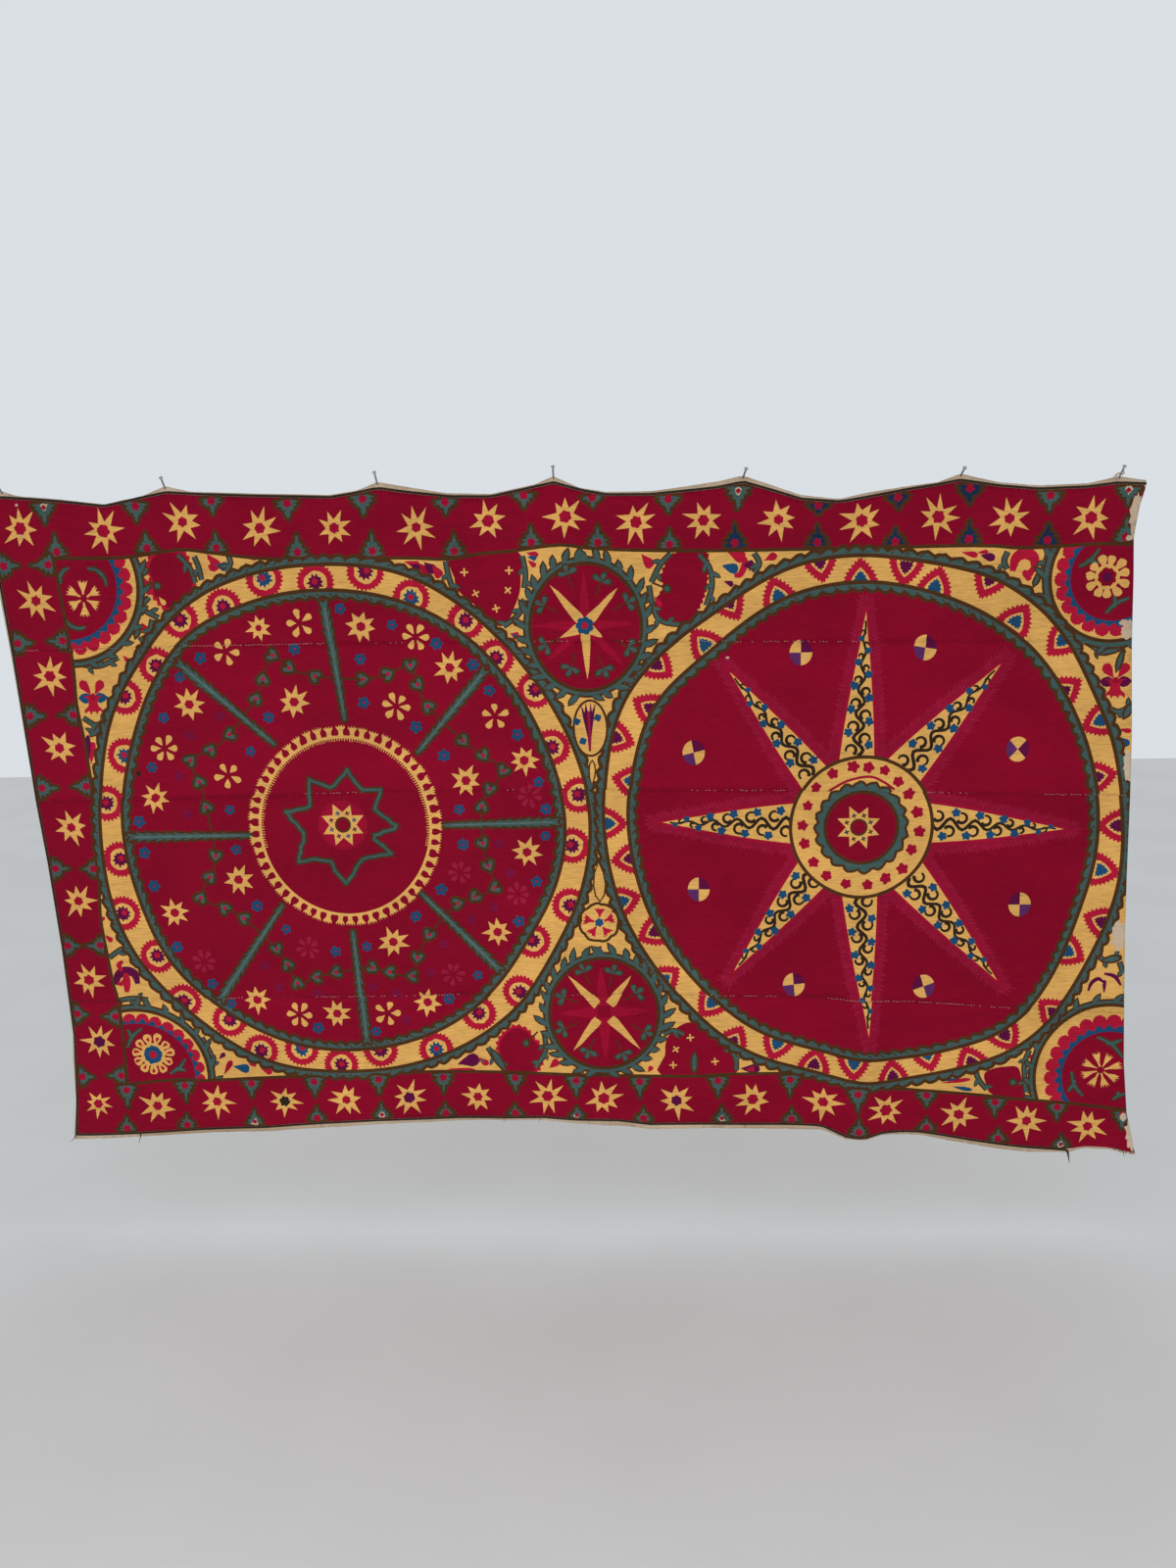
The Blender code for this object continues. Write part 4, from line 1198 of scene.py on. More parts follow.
# Small leaf bits of the spandrels: colour, x and z of the base and the tip, width
BITS = (
    ("bright_red", -0.925, 1.232, -0.918, 1.212, 0.018), ("bright_red", -0.915, 1.330, -0.900, 1.290, 0.026),
    ("yellow", -0.884, 1.285, -0.872, 1.268, 0.012), ("bright_red", -0.772, 1.372, -0.752, 1.338, 0.034),
    ("yellow", -0.784, 1.366, -0.768, 1.350, 0.012), ("blue", -0.755, 1.348, -0.728, 1.344, 0.024),
    ("bright_red", -0.690, 1.362, -0.664, 1.362, 0.014), ("bright_red", -0.352, 1.346, -0.318, 1.338, 0.018),
    ("plum", -0.340, 1.340, -0.316, 1.330, 0.018), ("rose", -0.318, 1.342, -0.300, 1.318, 0.024),
    ("plum", -0.308, 1.345, -0.286, 1.322, 0.026), ("bright_red", -0.290, 1.338, -0.274, 1.312, 0.024),
    ("bright_red", -0.092, 1.358, -0.066, 1.352, 0.016), ("bright_red", -0.088, 1.342, -0.072, 1.330, 0.014),
    ("blue", -0.090, 1.350, -0.070, 1.346, 0.014), ("bright_red", -0.132, 1.190, -0.112, 1.184, 0.020),
    ("blue", -0.126, 1.190, -0.118, 1.184, 0.010), ("bright_red", 0.150, 1.350, 0.172, 1.322, 0.026),
    ("bright_red", 0.176, 1.262, 0.190, 1.240, 0.014), ("blue", 0.318, 1.322, 0.352, 1.312, 0.026),
    ("bright_red", 0.330, 1.350, 0.366, 1.336, 0.030),
    ("plum", 0.362, 1.322, 0.386, 1.322, 0.024), ("plum", 0.322, 1.290, 0.342, 1.282, 0.014),
    ("bright_red", 0.405, 1.330, 0.432, 1.342, 0.020), ("bright_red", 0.812, 1.338, 0.845, 1.330, 0.014),
    ("plum", 0.850, 1.330, 0.880, 1.324, 0.020), ("bright_red", 0.842, 1.334, 0.866, 1.338, 0.010),
    ("bright_red", 0.942, 1.296, 0.952, 1.276, 0.014),
    ("blue", -0.806, 0.218, -0.768, 0.210, 0.026), ("plum", -0.838, 0.236, -0.822, 0.250, 0.014),
    ("rose", -0.828, 0.198, -0.808, 0.232, 0.016), ("bright_red", -0.770, 0.224, -0.752, 0.220, 0.012),
    ("plum", -0.286, 0.222, -0.236, 0.236, 0.036), ("bright_red", -0.312, 0.210, -0.246, 0.207, 0.012),
    ("bright_red", -0.240, 0.238, -0.216, 0.220, 0.018), ("bright_red", -0.742, 0.212, -0.716, 0.202, 0.018),
    ("teal", -0.236, 0.232, -0.226, 0.228, 0.009), ("bright_red", -0.076, 0.214, -0.056, 0.232, 0.022),
    ("bright_red", 0.146, 0.200, 0.156, 0.214, 0.014), ("plum", 0.354, 0.208, 0.398, 0.208, 0.026),
    ("bright_red", 0.366, 0.208, 0.386, 0.206, 0.015), ("blue", 0.792, 0.178, 0.846, 0.180, 0.010),
    ("bright_red", 0.800, 0.170, 0.866, 0.182, 0.012), ("blue", 0.824, 0.164, 0.870, 0.156, 0.012),
    ("bright_red", 0.988, 0.240, 1.004, 0.230, 0.014), ("bright_red", -1.068, 0.925, -1.060, 0.975, 0.020),
    ("plum", -1.072, 0.935, -1.070, 0.990, 0.014), ("bright_red", 1.150, 0.962, 1.176, 0.958, 0.014),
    ("blue", 1.154, 0.945, 1.172, 0.928, 0.020), ("plum", 1.152, 0.378, 1.152, 0.410, 0.010),
    ("bright_red", -1.070, 0.536, -1.056, 0.520, 0.016), ("bright_red", -1.075, 0.566, -1.070, 0.578, 0.010),
    ("bright_red", -0.975, 1.162, -0.962, 1.148, 0.012),
)
# Curled petals: colour, width, points x, z
CURLS = (
    ("bright_red", 0.024, ((0.916, 1.296), (0.922, 1.322), (0.940, 1.332), (0.958, 1.322), (0.960, 1.300))),
    ("bright_red", 0.016, ((0.960, 1.304), (0.948, 1.288), (0.938, 1.296))),
    ("plum", 0.022, ((-1.056, 0.418), (-1.050, 0.440), (-1.032, 0.450), (-1.012, 0.444), (-1.006, 0.420))),
    ("bright_red", 0.018, ((-1.032, 0.446), (-1.031, 0.425), (-1.033, 0.400))),
    ("bright_red", 0.010, ((-1.032, 0.436), (-1.044, 0.420), (-1.052, 0.424))),
    ("bright_red", 0.012, ((-1.040, 0.450), (-1.046, 0.464), (-1.036, 0.474))),
    ("bright_red", 0.014, ((0.352, 1.348), (0.366, 1.330), (0.358, 1.305), (0.344, 1.300))),
    ("plum", 0.009, ((1.118, 0.384), (1.124, 0.402), (1.138, 0.412), (1.150, 0.404))),
    ("plum", 0.009, ((1.186, 0.398), (1.172, 0.418), (1.150, 0.424))),
)
# Round leaves: x and z of the leaf and of its root
ROUND_LEAVES = (
    (-0.885, 1.308, -0.905, 1.318), (0.203, 1.277, 0.172, 1.290), (-0.1275, 0.2725, -0.100, 0.300),
    (0.9585, 0.175, 0.984, 0.178),
)


def spandrels():
    """The yellow ground between the medallions with its lobes, branches and bits of leaf."""
    for edge, points in LOBES:
        outline = smooth(points, 3, closed=True)
        if edge == "red teeth":
            middle = outline.mean(axis=0)
            paint("bright_red", toothed(middle + (outline - middle) * 1.10, 0.014, 0.006))
        paint("crimson", toothed(outline, 0.012, 0.005) if edge == "own teeth" else outline)
    for colour, width, points in CURLS:
        line = smooth(points, 4)
        stroke(colour, line, width * np.sin(np.linspace(0.5, 2.6, len(line))))
    for x, z, turn in CROSSES:
        cross("yellow", (x, z), 0.0085, 0.0036, turn)
    for colour, base_x, base_z, tip_x, tip_z, width in BITS:
        shaped(colour, PETAL, (base_x, base_z), (tip_x, tip_z), width)
    bell_flower((-1.050, 1.066), "blue")
    bell_flower((1.138, 1.058), "plum")
    for line in BRANCHES:
        leafy(line, 0.0062, 0.016)
    for base_x, base_z, tip_x, tip_z, width in BLADES:
        shaped("teal", LEAF, (base_x, base_z), (tip_x, tip_z), width, "brown", 0.0045)
    for x, z, root_x, root_z in ROUND_LEAVES:
        round_leaf((x, z), (root_x, root_z))


# Border
# The brown line round the inner ground, along the top and bottom: x, z, and at the left: z, x
LINE_TOP = (
    (-1.105, 1.371), (-0.95, 1.369), (-0.835, 1.3825), (-0.75, 1.3725), (-0.62, 1.3575), (-0.36, 1.354),
    (-0.26, 1.349), (-0.195, 1.3575), (-0.11, 1.3635), (-0.02, 1.3725), (0.06, 1.3625), (0.24, 1.354),
    (0.54, 1.351), (0.84, 1.35), (0.94, 1.3425), (1.09, 1.3475), (1.17, 1.344),
)
LINE_LEFT = (
    (0.18, -1.0525), (0.37, -1.055), (0.42, -1.0625), (0.49, -1.07), (0.57, -1.0775), (0.635, -1.075),
    (0.84, -1.0675), (0.90, -1.0725), (0.985, -1.079), (1.06, -1.0875), (1.16, -1.0875), (1.37, -1.104),
)
LINE_BOTTOM = (
    (-1.05, 0.18), (-0.93, 0.189), (-0.87, 0.185), (-0.74, 0.19), (-0.50, 0.20), (-0.36, 0.205),
    (-0.26, 0.204),
    (-0.10, 0.201), (0.1, 0.193), (0.24, 0.191), (0.34, 0.196), (0.52, 0.194), (0.56, 0.185), (0.60, 0.17),
    (0.74, 0.155), (0.89, 0.145), (0.96, 0.1365), (1.04, 0.1275), (1.14, 0.115), (1.225, 0.1075),
)
# Border stars: x, z
STARS_TOP = (
    (-1.1715, 1.435), (-0.9885, 1.425), (-0.819, 1.44), (-0.6525, 1.4225), (-0.495, 1.419), (-0.321, 1.416),
    (-0.1685, 1.425), (-0.0075, 1.43), (0.14, 1.415), (0.28, 1.415), (0.435, 1.4125), (0.605, 1.406),
    (0.7625, 1.41), (0.905, 1.4025), (1.071, 1.40),
)
STARS_LEFT = (
    (-1.1535, 1.2825), (-1.141, 1.12), (-1.136, 0.9625), (-1.125, 0.784), (-1.125, 0.615), (-1.1185, 0.43),
    (-1.11, 0.2825),
)
STARS_BOTTOM = (
    (-1.126, 0.1315), (-0.9875, 0.125), (-0.849, 0.1325), (-0.691, 0.1325), (-0.546, 0.1375), (-0.40, 0.1425),
    (-0.2425, 0.1425), (-0.0825, 0.146), (0.045, 0.139), (0.21, 0.1325), (0.3825, 0.135), (0.54, 0.1275),
    (0.68, 0.11), (0.8425, 0.0975), (0.9925, 0.0825), (1.13, 0.066),
)
# Stars whose core has a darker colour
DARK_CORES = {
    (-0.691, 0.1325): "dark_brown", (-0.40, 0.1425): "plum", (0.21, 0.1325): "plum", (-1.11, 0.2825): "plum",
}
# Palmettes that hang from the top edge and stand on the top line: x, height of the tip, colour
HANGING = (
    (-1.1125, 1.4375, "teal"), (-0.915, 1.436, "teal"), (-0.7525, 1.450, "teal"), (-0.59, 1.435, "teal"),
    (-0.4325, 1.4375, "teal"), (-0.2575, 1.435, "teal"), (-0.0925, 1.445, "teal"), (0.05, 1.4425, "teal"),
    (0.2075, 1.4275, "teal"), (0.3525, 1.430, "teal"), (0.516, 1.4175, "navy"), (0.6775, 1.4225, "navy"),
    (0.825, 1.430, "navy"), (0.984, 1.410, "teal"), (1.145, 1.4175, "teal"),
)
STANDING = (
    (-1.095, 1.425, "teal"), (-0.90, 1.425, "teal"), (-0.75, 1.420, "teal"), (-0.576, 1.414, "teal"),
    (-0.4175, 1.416, "teal"), (-0.2425, 1.4075, "teal"), (-0.08, 1.419, "teal"), (0.06, 1.415, "teal"),
    (0.209, 1.4025, "teal"), (0.345, 1.4125, "navy"), (0.515, 1.405, "navy"), (0.675, 1.395, "navy"),
    (0.826, 1.405, "navy"), (0.9835, 1.395, "navy"), (1.144, 1.405, "teal"),
)
# Palmettes of the left border, from the edge and from the line: height, x of the tip
FROM_LEFT_EDGE = (
    (1.3575, -1.1775), (1.1925, -1.165), (1.034, -1.1575), (0.8735, -1.1425), (0.69, -1.1325),
    (0.511, -1.125), (0.349, -1.125), (0.1975, -1.125),
)
FROM_LEFT_LINE = (
    (1.358, -1.1625), (1.196, -1.1425), (1.035, -1.135), (0.876, -1.1225), (0.689, -1.115), (0.5115, -1.1225),
    (0.3425, -1.1025), (0.20, -1.104),
)
# Palmettes of the bottom border, from the line down and from the edge up: x, height of the tip
FROM_BOTTOM_LINE = (
    (-1.0565, 0.1175), (-0.92, 0.13), (-0.7665, 0.1375), (-0.619, 0.1375), (-0.4685, 0.145), (-0.32, 0.147),
    (-0.155, 0.15), (-0.0165, 0.14), (0.1275, 0.135), (0.304, 0.1375), (0.466, 0.135), (0.615, 0.1025),
    (0.771, 0.1075), (0.921, 0.09), (1.06, 0.0775), (1.2025, 0.0575),
)
FROM_BOTTOM_EDGE = (
    (-1.0635, 0.105), (-0.9225, 0.11), (-0.765, 0.1175), (-0.6175, 0.125), (-0.465, 0.135), (-0.3175, 0.1325),
    (-0.1575, 0.13), (-0.0165, 0.125), (0.135, 0.12), (0.3125, 0.124), (0.47, 0.115), (0.6175, 0.099),
    (0.7725, 0.0925), (0.93, 0.071), (1.0725, 0.0525),
)
# Palmettes whose core is worn to the cotton: x
WORN_CORES = (-1.1125, 0.3525, 1.145, 1.2025, 1.0725, -0.0165, -0.765, -0.465, 0.3125)


def inner_ground():
    """The yellow ground inside the border line."""
    bottom = [(x, z) for x, z in LINE_BOTTOM] + [(1.30, 0.10)]
    top = [(1.30, 1.344)] + [(x, z) for x, z in reversed(LINE_TOP)]
    left = [(x, z) for z, x in reversed(LINE_LEFT)][1:-1]
    paint("yellow", bottom + top + left)


def border_ground():
    """The border's crimson ground on three sides, and the brown line round the inner ground."""
    left = [(x, z) for z, x in LINE_LEFT]
    paint("crimson", [(-1.35, 1.371)] + list(LINE_TOP) + [(1.35, 1.344), (1.35, 1.60), (-1.35, 1.60)])
    paint("crimson", [(-1.0525, -0.10)] + left + [(-1.104, 1.60), (-1.35, 1.60), (-1.35, -0.10)])
    paint("crimson", [(-1.35, 0.178)] + list(LINE_BOTTOM) + [(1.35, 0.098), (1.35, -0.10), (-1.35, -0.10)])
    for line in (LINE_TOP, left, LINE_BOTTOM):
        stroke("brown", smooth(line, 4), BORDER_LINE)


def border():
    """The border's stars and palmettes."""
    for x, z in STARS_TOP + STARS_LEFT + STARS_BOTTOM:
        radius = 0.034 if (x, z) == STARS_BOTTOM[0] else HAND.uniform(0.0405, 0.0450)
        star("yellow", (x, z), radius, 8, 0.44, 0.16)
        blossom(DARK_CORES.get((x, z), "rose"), (x, z), HAND.uniform(0.0105, 0.0145), 6, 0.26)
    for x, tip, fill in HANGING:
        edge = float(along(TOP_EDGE, x)) - 0.001
        worn = "beige" if x in WORN_CORES else None
        palmette((x, edge), (x + HAND.uniform(-0.002, 0.002), tip), 0.056, fill, worn)
    for x, tip, fill in STANDING:
        palmette((x, float(along(LINE_TOP, x)) + 0.002), (x, tip), 0.050, fill)
    for z, tip in FROM_LEFT_EDGE:
        palmette((float(along(LEFT_EDGE, z)) + 0.001, z), (tip, z), 0.054)
    for z, tip in FROM_LEFT_LINE:
        palmette((float(along(LINE_LEFT, z)) - 0.002, z), (tip, z), 0.048)
    for x, tip in FROM_BOTTOM_LINE:
        palmette((x, float(along(LINE_BOTTOM, x)) - 0.002), (x, tip), 0.048)
    for x, tip in FROM_BOTTOM_EDGE:
        edge = float(along(BOTTOM_EDGE, x)) + 0.001
        palmette((x, edge), (x, tip), 0.046, base_core="beige" if x in WORN_CORES else None)


# Worn patches where the bare cotton shows: x, z, half width, half height
WORN = (
    (1.163, 1.402, 0.014, 0.047), (1.186, 1.466, 0.012, 0.014), (1.160, 1.170, 0.016, 0.022),
    (1.148, 1.186, 0.008, 0.006), (1.174, 0.886, 0.012, 0.034), (1.176, 0.512, 0.016, 0.034),
    (1.206, 0.300, 0.010, 0.030), (1.217, 0.165, 0.007, 0.045), (1.226, 0.058, 0.018, 0.040),
    (1.230, 0.030, 0.014, 0.020),
    (1.204, 0.092, 0.008, 0.010), (1.152, 1.358, 0.008, 0.006), (0.328, 1.130, 0.004, 0.003),
    (-1.174, 1.484, 0.004, 0.003), (-1.172, 1.420, 0.004, 0.003),
)


def wear():
    """A small dark spot, and the patches worn to the cotton."""
    paint("dark_brown", shaken(oval((-0.9625, 0.904), 0.0055, 0.0070, 12), 0.0008))
    for x, z, half_width, half_height in WORN:
        count = 26
        angles = np.linspace(0.0, 2 * np.pi, count, endpoint=False)
        reach = np.array([HAND.uniform(0.72, 1.12) for _ in range(count)])
        paint("beige", np.array((x, z)) + unit(angles) * (half_width, half_height) * reach[:, None])


def draw_embroidery():
    """Draws the whole pattern, the ground first and the worn patches last."""
    inner_ground()
    spandrels()
    corner_medallions()
    border_ground()
    big_rings(LEFT_CENTRE, LEFT_OUTER, LEFT_INNER, left_band)
    left_field()
    big_rings(RIGHT_CENTRE, RIGHT_OUTER, RIGHT_INNER, right_band)
    right_field()
    small_medallions()
    middle_motifs()
    border()
    wear()


# Cloth pieces
def side_x(share, z):
    left = along(LEFT_EDGE, z)
    return left + share * (along(RIGHT_EDGE, z) - left)


def edge_point(share, table, offset=0.0):
    """Point of an edge or seam table at a share of the width, moved up by an offset."""
    z = along(table, 0.0)
    x = side_x(share, z)
    for _ in range(4):
        z = along(table, x)
        x = side_x(share, z)
    return float(x), float(z) + offset


def strip_outline(upper, lower):
    """Closed outline of one strip, counterclockwise, hardly clear of its neighbours."""
    shares = np.linspace(0.0, 1.0, 161)
    half_gap = SEAM_GAP / 8
    low = [edge_point(share, lower, 0.0 if lower is BOTTOM_EDGE else half_gap) for share in shares]
    high = [edge_point(share, upper, 0.0 if upper is TOP_EDGE else -half_gap) for share in reversed(shares)]
    right = [(float(along(RIGHT_EDGE, z)), z) for z in np.linspace(low[-1][1], high[0][1], 24)[1:-1]]
    left = [(float(along(LEFT_EDGE, z)), z) for z in np.linspace(high[-1][1], low[0][1], 24)[1:-1]]
    return np.array(low + right + high + left)


def grid_points(outline, step):
    """Points of a slightly shifted grid over an outline's box."""
    low = outline.min(axis=0)
    high = outline.max(axis=0)
    points = []
    for row, z in enumerate(np.arange(low[1] + step * 0.4, high[1], step)):
        shift = step / 2 if row % 2 else 0.0
        for x in np.arange(low[0] + shift + step * 0.3, high[0], step):
            points.append((x, z))
    return points


def inside(points, outline):
    """Whether each point lies inside a closed outline, by the turns the outline makes round it."""
    start = np.asarray(outline, dtype=float)
    end = np.roll(start, -1, axis=0)
    found = []
    for part in np.array_split(points, max(len(points) // 6000, 1)):
        x, z = part[:, :1], part[:, 1:]
        side = (end[:, 0] - start[:, 0]) * (z - start[:, 1]) - (x - start[:, 0]) * (end[:, 1] - start[:, 1])
        rising = (start[:, 1] <= z) & (end[:, 1] > z) & (side > 0)
        falling = (start[:, 1] > z) & (end[:, 1] <= z) & (side < 0)
        found.append(rising.sum(axis=1) != falling.sum(axis=1))
    return np.concatenate(found)


def top_shapes(middles, shapes):
    """For each point the number of the last shape over it, 0 where there is none."""
    order = np.argsort(middles[:, 0])
    sorted_x = middles[order, 0]
    tops = np.zeros(len(middles), dtype=int)
    for number, shape in enumerate(shapes, start=1):
        low, high = shape.min(axis=0), shape.max(axis=0)
        near = order[np.searchsorted(sorted_x, low[0]):np.searchsorted(sorted_x, high[0], "right")]
        near = near[(middles[near, 1] >= low[1]) & (middles[near, 1] <= high[1])]
        if len(near):
            tops[near[inside(middles[near], shape)]] = number
    return tops


def cut_to_faces(outline, shapes, step):
    """Cuts an outline along the shapes: flat points, triangles, and the number of the top shape on each."""
    points = []
    faces = []
    for shape in [outline] + shapes:
        start = len(points)
        points.extend(map(tuple, shape))
        faces.append(list(range(start, len(points))))
    points.extend(grid_points(outline, step))
    result = delaunay_2d_cdt([Vector(point) for point in points], [], faces, 1, 1e-6)
    flat = np.array([tuple(point) for point in result[0]])
    triangles = np.array([triangle for triangle in result[2] if len(triangle) == 3])
    middles = flat[triangles].mean(axis=1)
    within = inside(middles, outline)
    tops = top_shapes(middles[within], shapes)
    return flat, [tuple(int(corner) for corner in triangle) for triangle in triangles[within]], tops.tolist()


def rim_edges(triangles):
    """The directed edges that only one triangle has."""
    directed = set()
    for a, b, c in triangles:
        directed.update(((a, b), (b, c), (c, a)))
    return [(a, b) for a, b in directed if (b, a) not in directed]


def rim_loop(edges):
    """The rim's points in order round the outline."""
    after = dict(edges)
    start = min(after)
    loop = [start]
    here = after[start]
    while here != start and len(loop) <= len(after):
        loop.append(here)
        here = after[here]
    return loop


def sheet_mesh(name, flat, triangles, groups, front, back, raise_points, materials):
    """A closed sheet: a finely cut front, a coarse back and a rim, laid on the folds."""
    used = sorted({corner for triangle in triangles for corner in triangle})
    renumber = {old: new for new, old in enumerate(used)}
    flat = flat[used]
    triangles = [tuple(renumber[corner] for corner in triangle) for triangle in triangles]
    raised = np.array([1.0 if old in raise_points else 0.0 for old in used])
    loop = rim_loop(rim_edges(triangles))
    rim = flat[loop]
    on_rim = np.zeros(len(flat), dtype=bool)
    on_rim[loop] = True
    raised[on_rim] = 0.0
    back_flat, back_faces, _ = cut_to_faces(rim, [], BACK_STEP)
    forward = lift(flat[:, 0], flat[:, 1])
    front_y = front - forward - raised * RELIEF
    back_y = back - lift(back_flat[:, 0], back_flat[:, 1])
    front_points = np.stack((flat[:, 0], front_y, flat[:, 1] - HANG_LINE), axis=-1)
    back_points = np.stack((back_flat[:, 0], back_y, back_flat[:, 1] - HANG_LINE), axis=-1)
    points = np.vstack((front_points, back_points))
    count = len(front_points)
    faces = [triangle for triangle in triangles]
    slots = list(groups)
    faces += [(count + a, count + c, count + b) for a, b, c in back_faces]
    slots += [len(materials) - 1] * len(back_faces)
    places = {}
    for index in rim_loop(rim_edges(back_faces)):
        places[(round(back_flat[index, 0], 5), round(back_flat[index, 1], 5))] = count + index
    for here, there in zip(loop, loop[1:] + loop[:1]):
        behind_here = places.get((round(flat[here, 0], 5), round(flat[here, 1], 5)))
        behind_there = places.get((round(flat[there, 0], 5), round(flat[there, 1], 5)))
        if behind_here is not None and behind_there is not None:
            faces.append((there, here, behind_here, behind_there))
            slots.append(len(materials) - 1)
    mesh = bpy.data.meshes.new(name)
    mesh.from_pydata([tuple(point) for point in points], [], faces)
    mesh.polygons.foreach_set("material_index", np.array(slots, dtype=np.int32))
    mesh.polygons.foreach_set("use_smooth", np.array([index < len(triangles) for index in range(len(faces))]))
    for material in materials:
        mesh.materials.append(material)
    mesh.update()
    piece = bpy.data.objects.new(name, mesh)
    bpy.context.scene.collection.objects.link(piece)
    return piece


# Materials
def new_material(name):
    material = bpy.data.materials.new(name)
    material.use_nodes = True
    tree = material.node_tree
    shader = tree.nodes["Principled BSDF"]
    return material, tree, shader


def noise(tree, scale, detail=3.0, rough=0.55):
    """Noise over the object's own coordinates, stretched by a scale for each axis."""
    place = tree.nodes.new("ShaderNodeTexCoord")
    mapping = tree.nodes.new("ShaderNodeMapping")
    mapping.inputs["Scale"].default_value = scale
    texture = tree.nodes.new("ShaderNodeTexNoise")
    texture.inputs["Scale"].default_value = 1.0
    texture.inputs["Detail"].default_value = detail
    texture.inputs["Roughness"].default_value = rough
    tree.links.new(place.outputs["Object"], mapping.inputs["Vector"])
    tree.links.new(mapping.outputs["Vector"], texture.inputs["Vector"])
    return texture.outputs["Fac"]


def ramp(tree, source, stops):
    """Turns a grey value into colours, each stop a place and a colour."""
    node = tree.nodes.new("ShaderNodeValToRGB")
    elements = node.color_ramp.elements
    while len(elements) < len(stops):
        elements.new(0.5)
    for element, (place, colour) in zip(elements, stops):
        element.position = place
        element.color = (*colour, 1.0)
    tree.links.new(source, node.inputs["Fac"])
    return node.outputs["Color"]


def mixed(tree, first, second):
    """One colour times another."""
    node = tree.nodes.new("ShaderNodeMix")
    node.data_type = "RGBA"
    node.blend_type = "MULTIPLY"
    node.inputs["Factor"].default_value = 1.0
    tree.links.new(first, node.inputs[6])
    tree.links.new(second, node.inputs[7])
    return node.outputs[2]


def scaled(colour, factor):
    return tuple(min(max(channel * factor, 0.0), 1.0) for channel in colour)


def thread_material(name, colour, contrast=0.30, sheen=0.02):
    """Couched silk on cotton: fine lying threads, soft patches of wear and a low sheen."""
    material, tree, shader = new_material(name)
    streaks = noise(tree, (38.0, 38.0, 430.0), 3.0, 0.6)
    base = ramp(tree, streaks, (
        (0.25, scaled(colour, 1.0 - contrast)), (0.50, colour), (0.78, scaled(colour, 1.0 + contrast * 0.8)),
    ))
    patches = noise(tree, (5.0, 5.0, 9.0), 4.0, 0.6)
    shade = ramp(tree, patches, ((0.30, (0.80, 0.80, 0.80)), (0.70, WHITE)))
    tree.links.new(mixed(tree, base, shade), shader.inputs["Base Color"])
    shader.inputs["Roughness"].default_value = 0.70
    shader.inputs["Specular IOR Level"].default_value = 0.05
    shader.inputs["Sheen Weight"].default_value = sheen
    shader.inputs["Sheen Roughness"].default_value = 0.5
    ridges = noise(tree, (120.0, 120.0, 1300.0), 2.0, 0.5)
    bump = tree.nodes.new("ShaderNodeBump")
    bump.inputs["Strength"].default_value = 0.35
    bump.inputs["Distance"].default_value = 0.0006
    tree.links.new(ridges, bump.inputs["Height"])
    tree.links.new(bump.outputs["Normal"], shader.inputs["Normal"])
    return material


def weave_material(name, colour):
    """Plain woven cotton with slubs and a few faint stains."""
    material, tree, shader = new_material(name)
    across = noise(tree, (60.0, 60.0, 1400.0), 2.0)
    down = noise(tree, (1400.0, 1400.0, 60.0), 2.0)
    dark = scaled(colour, 1.0 - WEAVE_CONTRAST)
    light = scaled(colour, 1.0 + WEAVE_CONTRAST * 0.5)
    first = ramp(tree, across, ((0.30, dark), (0.70, light)))
    second = ramp(tree, down, ((0.30, (0.82, 0.82, 0.82)), (0.70, WHITE)))
    blots = noise(tree, (3.0, 3.0, 3.0), 5.0, 0.6)
    stains = ramp(tree, blots, ((0.35, (0.78, 0.70, 0.60)), (0.60, WHITE)))
    woven = mixed(tree, first, second)
    tree.links.new(mixed(tree, woven, stains), shader.inputs["Base Color"])
    shader.inputs["Roughness"].default_value = 0.88
    shader.inputs["Specular IOR Level"].default_value = 0.2
    shader.inputs["Sheen Weight"].default_value = 0.12
    bump = tree.nodes.new("ShaderNodeBump")
    bump.inputs["Strength"].default_value = 0.4
    bump.inputs["Distance"].default_value = 0.0005
    tree.links.new(across, bump.inputs["Height"])
    tree.links.new(bump.outputs["Normal"], shader.inputs["Normal"])
    return material


def steel_material(name):
    """Bright drawn steel with fine rings and a little dulling."""
    material, tree, shader = new_material(name)
    marks = noise(tree, (900.0, 900.0, 900.0), 4.0)
    grey = ramp(tree, marks, ((0.30, (0.22, 0.22, 0.23)), (0.70, (0.52, 0.52, 0.53))))
    tree.links.new(grey, shader.inputs["Base Color"])
    rough = tree.nodes.new("ShaderNodeMapRange")
    rough.inputs["To Min"].default_value = 0.28
    rough.inputs["To Max"].default_value = 0.52
    tree.links.new(marks, rough.inputs["Value"])
    tree.links.new(rough.outputs["Result"], shader.inputs["Roughness"])
    shader.inputs["Metallic"].default_value = 1.0
    return material


